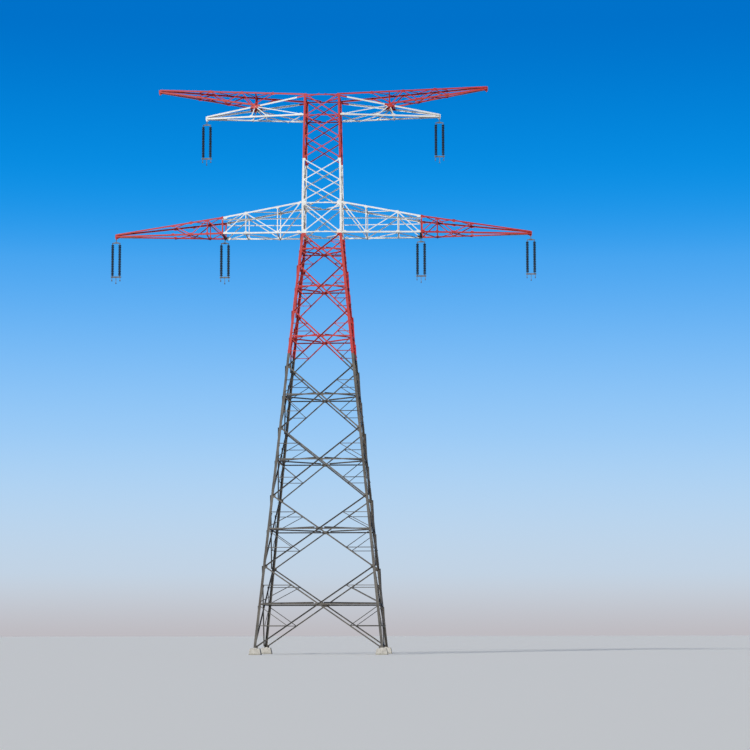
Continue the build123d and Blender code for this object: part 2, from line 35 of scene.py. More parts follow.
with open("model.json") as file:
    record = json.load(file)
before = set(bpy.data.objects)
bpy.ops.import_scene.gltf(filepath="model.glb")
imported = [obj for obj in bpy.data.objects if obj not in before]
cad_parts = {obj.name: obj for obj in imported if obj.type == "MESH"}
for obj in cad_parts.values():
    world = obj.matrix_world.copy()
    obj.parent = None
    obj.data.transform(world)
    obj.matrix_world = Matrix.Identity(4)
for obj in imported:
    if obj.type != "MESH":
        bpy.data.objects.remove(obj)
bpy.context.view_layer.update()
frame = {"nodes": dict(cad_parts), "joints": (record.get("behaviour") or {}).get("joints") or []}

# Levels and widths of the tower
PANEL_HEIGHTS = (3.825, 3.35, 3.25, 3.0, 2.7, 2.25, 1.625)
GALVANISED_PANELS = 4
WHITE_SHAFT_PANELS = 2
RED_SHAFT_PANELS = 3
FOOT_NODE = 0.04
JOINT_SETBACK = 0.06
BASE_HALF = 3.04
TOP_HALF = 0.875
WAIST_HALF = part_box("cage_legs")[1].x
BODY_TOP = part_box("red_legs")[1].z
CAGE_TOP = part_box("cage_legs")[1].z
RED_SHAFT_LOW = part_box("red_shaft_legs")[0].z
TOWER_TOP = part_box("red_shaft_legs")[1].z
RED_PAINT_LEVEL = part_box("lower_legs")[1].z
PIER_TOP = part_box("footings")[1].z
UPPER_ARM_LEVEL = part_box("right_upper_arm_chords")[0].z
BODY_SLOPE = (WAIST_HALF - BASE_HALF) / (BODY_TOP - PIER_TOP)

# Concrete piers
PIER_PLACE = 2.96
PIER_TOP_HALF = 0.23
PIER_BASE_HALF = 0.29
PIER_SHOULDER = 0.94
PIER_CUT = 0.02
CROWN_CUT = 0.03

# Steel angles
LEG_FLANGE = 0.125
LEG_WALL = 0.011
SHAFT_LEG_FLANGE = 0.095
SHAFT_LEG_WALL = 0.009
DIAGONAL_FLANGE = 0.062
DIAGONAL_WALL = 0.006
DIAGONAL_INSET = 0.095
SIDE_WALL = 0.005
SIDE_INSET = 0.078
CHORD_FLANGE = 0.075
CHORD_WALL = 0.008
WEB_FLANGE = 0.045
WEB_WALL = 0.005
LIGHT_FLANGE = 0.032
LIGHT_WALL = 0.004
SEAT_GAP = 0.0005
BUTT_GAP = 0.003

# Plates: cover plates of the legs, and reach and rise of the plates at nodes
SPLICE_RISE = 0.42
SPLICE_WALL = 0.005
SPLICE_HALF_WIDTH = 0.05
SPLICE_HALF_LENGTH = 0.2
CAGE_PLATE = (0.14, 0.14)
SHAFT_PLATE = (0.06, 0.07)
BOX_GUSSET = (0.1, 0.045)
TIP_GUSSET = (0.09, 0.04)
PEAK_GUSSET = (0.08, 0.035)

# Bolts: size across the flats and height, and places from the end or the middle of a bar
BOLT_FLATS = 0.015
BOLT_HEIGHT = 0.006
SHANK_FLATS = 0.009
HUB_FLATS = 0.04
DIAGONAL_BOLTS = (0.03, 0.075, 0.12)
CROSSING_BOLTS = (-0.055, 0.055)
STRUT_BOLTS = (0.115, 0.165)
STRUT_END_BOLTS = (0.082, 0.112)
BAR_BOLTS = (0.012, 0.055)

# Crossarms
LOWER_ARM_NODES = (2.15, 3.7)
LOWER_RAIL = 0.71
RAIL_FLANGE = 0.045
BOX_END = 4.8
BEAM_WIDTH = 0.09
LOWER_ARM_END_HALF = 0.85
LOWER_ARM_END_DEPTH = 0.85
LOWER_ARM_REACH = 10.15
LOWER_ARM_TIP_DEPTH = 0.165
TIP_HALF = 0.087
TIP_NODES = (5.6, 6.4, 7.3)
UPPER_ARM_REACH = 5.725
TIP_BOLT_PLACES = (0.05, 0.11, 0.17)
TIP_FLOOR_LENGTH = 1.0
TIP_FLOOR_GAP = 0.19
UPPER_ARM_TIP_DEPTH = 0.165
UPPER_CHORD_DROP = 0.085
UPPER_FEET = (2.7, 3.5)
UPPER_DECK_NODES = (1.75, 2.7, 3.5)
POST_REACH = 3.3
RED_ROOT = 0.35
SADDLE_HALF = 0.24
PEAK_REACH = 8.05
PEAK_RISE = 0.45
PEAK_TIP_DEPTH = 0.16
HANGER_DROP = 0.08
SHACKLE_HALF = 0.018
ROD_RADIUS = 0.006
ROD_SIDES = 8
PEAK_NODES = (2.4, 3.4, 3.95, 4.7, 5.5, 6.15)

# Step bolts
STEP_PITCH = 0.19
STEP_EDGE = 0.04
STEP_WIDTH = 0.01
STEP_HEAD = 0.019
STEP_LENGTH = 0.07

# Insulator strings, measured down from the pin
DISC_COUNT = 18
DISC_PITCH = 0.085
DISC_TOP = 0.259
STRING_HALF = 0.175
PIN_FACE = 0.024
LINK_FACE = 0.014
LINK_BOLTS = (0.088, 0.12)
YOKE_FACE = 0.009
YOKE_BOLTS = ((-0.175, 0.19), (0.0, 0.16), (0.175, 0.19))
LOWER_YOKE_FACE = 0.025
LOWER_YOKE_BOLTS = (-0.2, -0.15, 0.0, 0.15, 0.2)
LOWER_YOKE_MIDDLE = 1.869
CLAMP_TOPS = ((-0.2, 2.024), (0.0, 2.154), (0.2, 2.024))
CLAMP_BOLT_SPOTS = ((-0.014, -0.035), (0.014, -0.035), (-0.014, 0.035), (0.014, 0.035))

# Arcing horns at both ends of a string: level where they start, level of the tip and reach
HORNS = ((-0.205, -0.33, 0.13), (-1.86, -1.7, 0.15))


def norm(vectors):
    """Vectors at unit length."""
    return vectors / np.linalg.norm(vectors, axis=-1, keepdims=True)


def stacked(rings):
    """Closed bodies through rings of points: each ring is joined to the next and both ends are capped.

    The rings turn to the left as seen from the end, so that the faces point outwards.
    """
    rings = np.asarray(rings, float)
    count, levels, corners = rings.shape[:3]
    ring = np.arange(corners)
    after = np.roll(ring, -1)
    rows = np.arange(levels - 1)[:, None] * corners
    sides = np.stack([rows + ring, rows + after, rows + corners + after, rows + corners + ring], axis=-1)
    caps = np.stack([ring[::-1], ring + (levels - 1) * corners])
    base = (np.arange(count) * levels * corners)[:, None, None]
    faces = [base + sides.reshape(-1, 4), base + caps]
    return rings.reshape(-1, 3), [face.reshape(-1, face.shape[-1]) for face in faces]


def prisms(sections, runs):
    """Closed bars: each section polygon is carried along its run.

    A section that turns against its run is reversed first, so that the faces point outwards.
    """
    sections = np.asarray(sections, float)
    runs = np.asarray(runs, float)
    turn = np.cross(sections, np.roll(sections, -1, axis=1)).sum(axis=1)
    against = (turn * runs).sum(axis=1) < 0
    sections = np.where(against[:, None, None], sections[:, ::-1], sections)
    return stacked(np.stack([sections, sections + runs[:, None]], axis=1))


def revolved(profile, centres, segments):
    """Turned pieces: a profile of radius and height, from the top down, turned about Z at each centre.

    A point of the surface is the centre plus radius times cosine and sine of the turn, and height.
    """
    radius, height = np.asarray(profile, float).T
    turn = np.linspace(0, -2 * np.pi, segments, endpoint=False)
    heights = np.repeat(height[:, None], segments, axis=1)
    rings = np.stack([radius[:, None] * np.cos(turn), radius[:, None] * np.sin(turn), heights], axis=-1)
    return stacked(np.asarray(centres, float)[:, None, None] + rings)


def rod(path):
    """A round rod: each ring is radius times cosine and sine about two directions square to the path."""
    path = np.asarray(path, float)
    along = norm(np.gradient(path, axis=0))
    spread = path.max(axis=0) - path.min(axis=0)
    square = np.eye(3)[np.argmin(spread)]
    first = norm(np.cross(along, square))
    second = np.cross(along, first)
    turn = np.linspace(0, 2 * np.pi, ROD_SIDES, endpoint=False)[:, None]
    spokes = np.cos(turn) * first[:, None] + np.sin(turn) * second[:, None]
    return stacked([path[:, None] + ROD_RADIUS * spokes])


def angle_bars(starts, ends, outward, flange, wall, seat, stand, edge=1):
    """Steel angles from start to end, the flat flange square to outward and seat away from the line.

    The section is an L of six corners; its other flange stands along outward where stand is 1.
    """
    starts = np.atleast_2d(starts).astype(float)
    runs = np.atleast_2d(ends) - starts
    along = norm(runs)
    outward = np.broadcast_to(np.asarray(outward, float), starts.shape)
    facing = norm(outward - (outward * along).sum(axis=1, keepdims=True) * along)
    side = edge * flange / 2
    inner = side - edge * wall
    high, low = stand * flange, stand * wall
    outline = np.array(((-side, 0), (side, 0), (side, high), (inner, high), (inner, low), (-side, low)))
    return prisms(polygons(starts, np.cross(facing, along), facing, outline + (0, seat)), runs)


def polygons(centres, across, upward, outline):
    """Flat outlines laid at each centre, in the two directions given."""
    outline = np.asarray(outline, float)
    centres, across, upward = (np.asarray(value, float)[:, None] for value in (centres, across, upward))
    return centres + outline[:, :1] * across + outline[:, 1:] * upward


def plates(centres, along, inwards, outline, thickness):
    """Flat plates: an outline laid at each centre in two directions, carried by a thickness vector."""
    centres = np.asarray(centres, float).reshape(-1, 3)
    along, inwards, thickness = (
        np.broadcast_to(np.asarray(value, float), centres.shape) for value in (along, inwards, thickness)
    )
    return prisms(polygons(centres, along, inwards, outline), thickness)


def bolts(points, facing, across_flats=BOLT_FLATS, height=BOLT_HEIGHT):
    """Hexagon bolt heads: a hexagon square to facing, carried its height outwards."""
    points = np.asarray(points, float).reshape(-1, 3)
    facing = norm(np.broadcast_to(np.asarray(facing, float), points.shape))
    helper = np.where(np.abs(facing[:, 2:]) < 0.9, (0.0, 0.0, 1.0), (1.0, 0.0, 0.0))
    first = norm(np.cross(helper, facing))
    second = np.cross(facing, first)
    turn = np.arange(6) * np.pi / 3
    outline = across_flats / np.sqrt(3) * np.stack([np.cos(turn), np.sin(turn)], axis=1)
    return prisms(polygons(points, first, second, outline), facing * height)


def turned(points, side):
    """Points or directions of the front face carried round to another face by quarter turns."""
    points = np.asarray(points, float)
    cosine, sine = ((1, 0), (0, 1), (-1, 0), (0, -1))[side]
    x, y, z = points[..., 0], points[..., 1], points[..., 2]
    return np.stack([cosine * x - sine * y, sine * x + cosine * y, z], axis=-1)


def turned_shape(shape, side):
    """A shape of the front face carried round by quarter turns."""
    return turned(shape[0], side), shape[1]


def mirrored_shape(shape, axis):
    """A shape mirrored across the plane square to one axis, its faces turned the right way again."""
    vertices = shape[0].copy()
    vertices[:, axis] *= -1
    return vertices, [face[:, ::-1] for face in shape[1]]


def both_ways(shapes, axis):
    """Shapes together with their mirror images."""
    return list(shapes) + [mirrored_shape(shape, axis) for shape in shapes]


def in_quarters(shapes):
    """Shapes of the front right quarter repeated in all four."""
    return both_ways(both_ways(shapes, 1), 0)


def add_object(name, data):
    """An object in the scene."""
    added = bpy.data.objects.new(name, data)
    bpy.context.scene.collection.objects.link(added)
    return added


def make_piece(name, shapes, finish, body="tower", replaces=(), smooth=False):
    """One object from many closed shapes, in one of the finishes, riding on a body."""
    material, slot = FINISHES[finish]
    vertices = np.concatenate([points for points, faces in shapes])
    starts = np.cumsum([0] + [len(points) for points, faces in shapes])
    faces = [face + start for start, (points, face_sets) in zip(starts, shapes) for face in face_sets]
    corners = np.concatenate([face.ravel() for face in faces])
    totals = np.concatenate([np.full(len(face), face.shape[1]) for face in faces])
    mesh = bpy.data.meshes.new(name)
    mesh.vertices.add(len(vertices))
    mesh.vertices.foreach_set("co", vertices.astype(np.float32).ravel())
    mesh.loops.add(len(corners))
    mesh.loops.foreach_set("vertex_index", corners.astype(np.int32))
    mesh.polygons.add(len(totals))
    mesh.polygons.foreach_set("loop_start", (np.cumsum(totals) - totals).astype(np.int32))
    mesh.polygons.foreach_set("use_smooth", np.full(len(totals), smooth))
    mesh.update(calc_edges=True)
    mesh.materials.append(material)
    if smooth:
        mesh.set_sharp_from_angle(angle=radians(40))
    piece = add_object(name, mesh)
    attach(piece, body)
    if replaces:
        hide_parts(*replaces)


# Materials

def feed(tree, sockets, values):
    """Feeds sockets from values or other sockets."""
    for name, value in dict(values).items():
        if isinstance(value, bpy.types.NodeSocket):
            tree.links.new(value, sockets[name])
        else:
            sockets[name].default_value = value


def wire(tree, kind, inputs=(), **settings):
    """Adds a node, sets its options and feeds its inputs from values or other sockets."""
    node = tree.nodes.new(kind)
    for name, value in settings.items():
        setattr(node, name, value)
    feed(tree, node.inputs, inputs)
    return node


def new_group(name, output, **inputs):
    """An empty node group with one number out and named numbers in, given with their defaults."""
    group = bpy.data.node_groups.new(name, "ShaderNodeTree")
    for label, default in inputs.items():
        socket = group.interface.new_socket(label, in_out="INPUT", socket_type="NodeSocketFloat")
        socket.default_value = default
    group.interface.new_socket(output, in_out="OUTPUT", socket_type="NodeSocketFloat")
    entry = group.nodes.new("NodeGroupInput")
    result = group.nodes.new("NodeGroupOutput")
    return group, entry.outputs, result.inputs[0]


def maths(tree, operation, *values):
    """One sum on values or sockets."""
    return wire(tree, "ShaderNodeMath", enumerate(values), operation=operation).outputs[0]


def blended(tree, factor, first, second):
    """A colour between two colours or sockets."""
    return wire(tree, "ShaderNodeMix", {0: factor, 6: first, 7: second}, data_type="RGBA").outputs[2]


def object_place(tree):
    """Places in the object's own metres."""
    return wire(tree, "ShaderNodeTexCoord").outputs["Object"]


def patches_group():
    """Patches of weathering: noise, stretched up and down, cut between two limits to a mask."""
    group, entry, result = new_group(
        "weather_patches", "Mask", Scale=2.0, Stretch=1.0, Low=0.4, High=0.7, Shift=0.0
    )
    axes = wire(group, "ShaderNodeCombineXYZ", {"X": 1.0, "Y": 1.0, "Z": entry["Stretch"]})
    stretch = {0: object_place(group), 1: axes.outputs[0]}
    scaled = wire(group, "ShaderNodeVectorMath", stretch, operation="MULTIPLY")
    shift = {0: scaled.outputs[0], 1: entry["Shift"]}
    moved = wire(group, "ShaderNodeVectorMath", shift, operation="ADD")
    grain = {"Vector": moved.outputs[0], "Scale": entry["Scale"], "Detail": 5.0, "Roughness": 0.62}
    noise = wire(group, "ShaderNodeTexNoise", grain)
    cut = {"Value": noise.outputs[0], "From Min": entry["Low"], "From Max": entry["High"]}
    mask = wire(group, "ShaderNodeMapRange", cut, interpolation_type="SMOOTHSTEP")
    group.links.new(mask.outputs[0], result)
    return group


def spangle_group():
    """Zinc crystals: one tone for each cell of a cell pattern."""
    group, entry, result = new_group("zinc_spangle", "Tone", Scale=60.0)
    pattern = {"Vector": object_place(group), "Scale": entry["Scale"], "Randomness": 1.0}
    cells = wire(group, "ShaderNodeTexVoronoi", pattern)
    tone = wire(group, "ShaderNodeSeparateColor", {"Color": cells.outputs["Color"]})
    group.links.new(tone.outputs[0], result)
    return group


def band_group():
    """How far a place is above a level, from 0 below to 1 above, with an uneven brushed edge."""
    group, entry, result = new_group("paint_edge", "Above", Level=0.0, Unevenness=0.02)
    place = object_place(group)
    split = wire(group, "ShaderNodeSeparateXYZ", {"Vector": place})
    noise = wire(group, "ShaderNodeTexNoise", {"Vector": place, "Scale": 25.0, "Detail": 2.0})
    centred = maths(group, "SUBTRACT", noise.outputs[0], 0.5)
    level = maths(group, "MULTIPLY_ADD", centred, entry["Unevenness"], split.outputs[2])
    height = maths(group, "SUBTRACT", level, entry["Level"])
    edge = wire(group, "ShaderNodeMapRange", {"Value": height, "From Min": -0.002, "From Max": 0.002})
    group.links.new(edge.outputs[0], result)
    return group


PATCHES = patches_group()
SPANGLE = spangle_group()
PAINT_EDGE = band_group()


def grouped(tree, group, inputs):
    """The output of a node group in a material, with these inputs."""
    return wire(tree, "ShaderNodeGroup", inputs, node_tree=group).outputs[0]


def patches(tree, scale, low, high, stretch=1.0, shift=0.0):
    """A mask of weathering patches in a material."""
    inputs = {"Scale": scale, "Stretch": stretch, "Low": low, "High": high, "Shift": shift}
    return grouped(tree, PATCHES, inputs)


def below_edge(tree, level, unevenness):
    """How far a place is below a level with an uneven edge."""
    above = grouped(tree, PAINT_EDGE, {"Level": level, "Unevenness": unevenness})
    return maths(tree, "SUBTRACT", 1.0, above)


def new_material(name, roughness, metallic, **constants):
    """A material with a plain surface shader, ready for its patterns."""
    material = bpy.data.materials.new(name)
    material.use_nodes = True
    tree = material.node_tree
    shader = tree.nodes["Principled BSDF"].inputs
    feed(tree, shader, {"Roughness": roughness, "Metallic": metallic})
    feed(tree, shader, {label.replace("_", " "): value for label, value in constants.items()})
    return material, tree, shader


def roughen(tree, shader, height, strength, distance):
    """Relief from a height pattern."""
    bump = wire(tree, "ShaderNodeBump", {"Height": height, "Strength": strength, "Distance": distance})
    tree.links.new(bump.outputs[0], shader["Normal"])


# Dark, light and stained tone of the metals, and fresh, faded and grimy tone of the paints
ZINC_TONES = ((0.055, 0.047, 0.036, 1), (0.135, 0.12, 0.096, 1), (0.06, 0.035, 0.019, 1))
DARK_ZINC_TONES = ((0.04, 0.036, 0.032, 1), (0.09, 0.082, 0.072, 1), (0.05, 0.03, 0.02, 1))
FITTING_TONES = ((0.075, 0.078, 0.082, 1), (0.17, 0.175, 0.18, 1), (0.07, 0.05, 0.035, 1))
RED_TONES = ((0.48, 0.016, 0.012, 1), (0.54, 0.036, 0.024, 1), (0.16, 0.02, 0.015, 1))
WHITE_TONES = ((0.86, 0.87, 0.86, 1), (0.77, 0.77, 0.74, 1), (0.45, 0.42, 0.36, 1))


def zinc_colour(tree, tones):
    """Weathered zinc: crystals and grime between two greys, with brown stains run down."""
    dark, light, stain = tones
    spangle = grouped(tree, SPANGLE, {"Scale": 55.0})
    grime = maths(tree, "MULTIPLY", patches(tree, 1.3, 0.3, 0.7), 0.8)
    colour = blended(tree, maths(tree, "MULTIPLY_ADD", spangle, 0.2, grime), dark, light)
    stains = patches(tree, 9.0, 0.5, 0.72, stretch=0.12, shift=3.0)
    return blended(tree, maths(tree, "MULTIPLY", stains, 0.7), colour, stain), spangle


def zinc_material(name, tones, roughness=0.55, metallic=0.25):
    """Hot-dip zinc after many years outdoors."""
    material, tree, shader = new_material(name, roughness, metallic)
    colour, spangle = zinc_colour(tree, tones)
    rough = maths(tree, "MULTIPLY_ADD", spangle, 0.14, roughness - 0.07)
    feed(tree, shader, {"Base Color": colour, "Roughness": rough})
    grain = patches(tree, 120.0, 0.35, 0.65, shift=7.0)
    roughen(tree, shader, maths(tree, "MULTIPLY_ADD", spangle, 0.3, grain), 0.25, 0.0006)
    return material


def paint_colour(tree, tones):
    """Brushed paint with faded patches and grime run down."""
    fresh, faded, grime = tones
    paint = blended(tree, patches(tree, 0.9, 0.32, 0.68), fresh, faded)
    runs = patches(tree, 7.0, 0.48, 0.78, stretch=0.1, shift=5.0)
    return blended(tree, maths(tree, "MULTIPLY", runs, 0.45), paint, grime)


def red_stretches(tree):
    """Mask of the red stretches of the upper crossarm's top chords, at the shaft and under the peaks."""
    split = wire(tree, "ShaderNodeSeparateXYZ", {"Vector": object_place(tree)})
    across = maths(tree, "ABSOLUTE", split.outputs[0], 0.0)
    root = maths(tree, "LESS_THAN", across, TOP_HALF + RED_ROOT)
    from_post = maths(tree, "ABSOLUTE", maths(tree, "SUBTRACT", across, POST_REACH), 0.0)
    post = maths(tree, "LESS_THAN", from_post, SADDLE_HALF)
    high = maths(tree, "GREATER_THAN", split.outputs[2], UPPER_ARM_LEVEL + RED_ROOT)
    return maths(tree, "MULTIPLY", maths(tree, "MAXIMUM", root, post), high)


def paint_material(name, tones, below=None, second_tones=None):
    """Brushed paint over zinc, with brush marks and chips that show the metal.

    Where below is given, the paint starts at that level and the bare zinc shows under it. Where second
    tones are given, they take the red stretches.
    """
    material, tree, shader = new_material(name, 0.42, 0.0, Coat_Roughness=0.35, Specular_IOR_Level=0.35)
    paint = paint_colour(tree, tones)
    if second_tones is not None:
        paint = blended(tree, red_stretches(tree), paint, paint_colour(tree, second_tones))
    bare = patches(tree, 38.0, 0.665, 0.69, shift=11.0)
    if below is not None:
        bare = maths(tree, "MAXIMUM", bare, below_edge(tree, below, 0.02))
    colour = blended(tree, bare, paint, zinc_colour(tree, ZINC_TONES)[0])
    brush = patches(tree, 90.0, 0.3, 0.7, stretch=0.08, shift=2.0)
    rough = maths(tree, "MULTIPLY_ADD", bare, 0.16, maths(tree, "MULTIPLY_ADD", brush, 0.12, 0.36))
    metallic = maths(tree, "MULTIPLY", bare, 0.3)
    feed(tree, shader, {"Base Color": colour, "Roughness": rough, "Metallic": metallic})
    marks = maths(tree, "MULTIPLY", brush, 0.35)
    roughen(tree, shader, maths(tree, "SUBTRACT", marks, bare), 0.35, 0.0006)
    return material


def concrete_material():
    """Cast concrete: fine grain, air holes, board marks, rain stains and a damp foot."""
    material, tree, shader = new_material("pier_concrete", 0.85, 0.0)
    colour = blended(tree, patches(tree, 5.0, 0.3, 0.7), (0.44, 0.42, 0.38, 1), (0.6, 0.58, 0.53, 1))
    runs = patches(tree, 14.0, 0.5, 0.75, stretch=0.15, shift=4.0)
    colour = blended(tree, maths(tree, "MULTIPLY", runs, 0.5), colour, (0.26, 0.24, 0.2, 1))
    damp = maths(tree, "MULTIPLY", below_edge(tree, 0.05, 0.12), 0.55)
    colour = blended(tree, damp, colour, (0.16, 0.15, 0.1, 1))
    holes = patches(tree, 70.0, 0.68, 0.72, shift=9.0)
    colour = blended(tree, maths(tree, "MULTIPLY", holes, 0.6), colour, (0.2, 0.19, 0.17, 1))
    tree.links.new(colour, shader["Base Color"])
    grain = maths(tree, "MULTIPLY", patches(tree, 180.0, 0.2, 0.8, shift=1.0), 0.5)
    waves = {"Vector": object_place(tree), "Scale": 6.5, "Distortion": 0.6, "Detail": 2.0}
    boards = wire(tree, "ShaderNodeTexWave", waves, bands_direction="Z")
    height = maths(tree, "MULTIPLY_ADD", boards.outputs[1], 0.6, grain)
    roughen(tree, shader, maths(tree, "SUBTRACT", height, holes), 0.6, 0.002)
    return material


def glaze_material():
    """Dark insulator glaze, with dust on what faces up."""
    material, tree, shader = new_material("insulator_glaze", 0.35, 0.0, Specular_IOR_Level=0.3)
    mottle = patches(tree, 12.0, 0.35, 0.7)
    colour = blended(tree, mottle, (0.006, 0.011, 0.018, 1), (0.014, 0.021, 0.032, 1))
    surface = wire(tree, "ShaderNodeNewGeometry")
    facing = wire(tree, "ShaderNodeSeparateXYZ", {"Vector": surface.outputs["Normal"]})
    level = {"Value": facing.outputs[2], "From Min": 0.2, "From Max": 1.0}
    upwards = wire(tree, "ShaderNodeMapRange", level)
    settled = maths(tree, "MULTIPLY", patches(tree, 20.0, 0.3, 0.75, shift=6.0), 0.2)
    dust = maths(tree, "MULTIPLY", upwards.outputs[0], settled)
    dusty = blended(tree, dust, colour, (0.2, 0.2, 0.18, 1))
    feed(tree, shader, {"Base Color": dusty, "Roughness": maths(tree, "MULTIPLY_ADD", dust, 0.8, 0.3)})
    roughen(tree, shader, patches(tree, 60.0, 0.2, 0.8, shift=8.0), 0.08, 0.0005)
    return material


dark_galvanised = zinc_material("dark_galvanised_steel", DARK_ZINC_TONES, 0.6)
fitting_steel = zinc_material("string_fitting_steel", FITTING_TONES, 0.5, 0.5)
banded_paint = paint_material("white_paint_with_red_bands", WHITE_TONES, second_tones=RED_TONES)

# Material and slot of each finish
FINISHES = {
    "galvanised": (zinc_material("weathered_galvanised_steel", ZINC_TONES), "galvanised_steel"),
    "dark_galvanised": (dark_galvanised, "galvanised_steel"),
    "iron": (dark_galvanised, "forged_steel"),
    "fitting": (fitting_steel, "forged_steel"),
    "red": (paint_material("red_paint", RED_TONES, RED_PAINT_LEVEL), "red_paint"),
    "white": (paint_material("white_paint", WHITE_TONES), "white_paint"),
    "banded": (banded_paint, "white_paint"),
    "concrete": (concrete_material(), "concrete"),
    "glaze": (glaze_material(), "insulator_glaze"),
}

# Finish of a node, by the first of these words that its name holds; the last one fits every name
NODE_FINISHES = (
    ("fittings", "fitting"),
    ("discs", "glaze"),
    ("footings", "concrete"),
    ("hanging_beams", "dark_galvanised"),
    ("upper_arm_chords", "banded"),
    ("red_", "red"),
    ("peak", "red"),
    ("lower_arm_tip", "red"),
    ("white_", "white"),
    ("cage", "white"),
    ("arm", "white"),
    ("", "galvanised"),
)
for name, node in frame["nodes"].items():
    finish = next(finish for word, finish in NODE_FINISHES if word in name)
    node.data.materials.clear()
    node.data.materials.append(FINISHES[finish][0])


# The tapered body, worked out on its front face and carried round

def half_at(level):
    """Half the tower's width at a level, to the outer faces of the legs."""
    level = np.asarray(level, float)
    body = BASE_HALF + BODY_SLOPE * (level - PIER_TOP)
    shaft = WAIST_HALF + (TOP_HALF - WAIST_HALF) * (level - CAGE_TOP) / (TOWER_TOP - CAGE_TOP)
    return np.where(level <= BODY_TOP, body, np.where(level <= CAGE_TOP, WAIST_HALF, shaft))


def on_face(across, level):
    """Points of the front face, across from its middle."""
    across, level = np.broadcast_arrays(np.asarray(across, float), level)
    return np.stack([across, -half_at(level), level], axis=-1)


def between(low, high, share):
    """The value a share of the way from low to high."""
    return low + (high - low) * share


BODY_OUT = np.array((0.0, -1.0, -BODY_SLOPE)) / np.hypot(1, BODY_SLOPE)
OUTER_SEAT = SEAT_GAP
INNER_SEAT = -LEG_WALL - SEAT_GAP
HEAD = DIAGONAL_WALL + SEAT_GAP

body_levels = PIER_TOP + np.concatenate([[FOOT_NODE], np.cumsum(PANEL_HEIGHTS)])
body_levels[-1] -= JOINT_SETBACK
panel_lows, panel_highs = body_levels[:-1], body_levels[1:]
low_reaches = half_at(panel_lows) - DIAGONAL_INSET
high_reaches = half_at(panel_highs) - DIAGONAL_INSET
crossings = between(panel_lows, panel_highs, low_reaches / (low_reaches + high_reaches))


def leg_direction(hand):
    """Direction of a leg on the front face, upwards."""
    return norm(np.array((hand * BODY_SLOPE, -BODY_SLOPE, 1.0)))


def quarter_places(panels):
    """For each quarter of these panels: hand, rise, middle of the diagonal, its level, a level near the
    crossing and whether the diagonal is the outer one."""
    crossing = crossings[panels]
    for hand in (-1, 1):
        for rise, reaches, levels in ((1, high_reaches, panel_highs), (-1, low_reaches, panel_lows)):
            middle_level = (crossing + levels[panels]) / 2
            across = hand * reaches[panels] / 2
            yield hand, rise, across, middle_level, crossing + 0.1 * rise, hand == rise


def light_bars(panels):
    """Light bars that hold the legs and diagonals of these panels halfway, one pair in each quarter."""
    shapes = []
    for hand, rise, across, middle_level, foot_level, outer_diagonal in quarter_places(panels):
        seat, stand = (INNER_SEAT, -1) if outer_diagonal else (OUTER_SEAT, 1)
        for level, inset in ((middle_level, 0.06), (foot_level, 0.075)):
            ends = on_face(across, middle_level), on_face(hand * (half_at(level) - inset), level)
            shapes.append(angle_bars(*ends, BODY_OUT, LIGHT_FLANGE, LIGHT_WALL, seat, stand, hand))
    return shapes


def leg_node_plates(levels):
    """Plates in the layer of the leg flange, between the two diagonals that meet at each leg."""
    shapes = []
    outline = ((0, -0.11), (0.09, -0.05), (0.09, 0.05), (0, 0.11))
    for hand in (-1, 1):
        centres = on_face(hand * (half_at(levels) - LEG_FLANGE), levels)
        shapes.append(plates(centres, (-hand, 0, 0), leg_direction(hand), outline, -LEG_WALL * BODY_OUT))
    return shapes


def crossing_plates(panels):
    """Plates between the diagonals where they cross, which also take the struts."""
    quarter = np.array(((0.18, 0.035), (0.07, 0.075)))
    half = np.concatenate([quarter, quarter[::-1] * (-1, 1)])
    outline = np.concatenate([half, -half])
    centres = on_face(0.0, crossings[panels])
    upwards = np.cross(BODY_OUT, (-1.0, 0.0, 0.0))
    return [plates(centres, (1, 0, 0), upwards, outline, -LEG_WALL * BODY_OUT)]


def through_bolts(points, outward, front, back):
    """A bolt head in front of the face and its nut and shank behind it, at each point."""
    points = np.asarray(points, float).reshape(-1, 3)
    heads = bolts(points + front * outward, outward)
    nuts = bolts(points + back * outward, -outward)
    shanks = bolts(points + (back - BOLT_HEIGHT) * outward, -outward, SHANK_FLATS)
    return [heads, nuts, shanks]


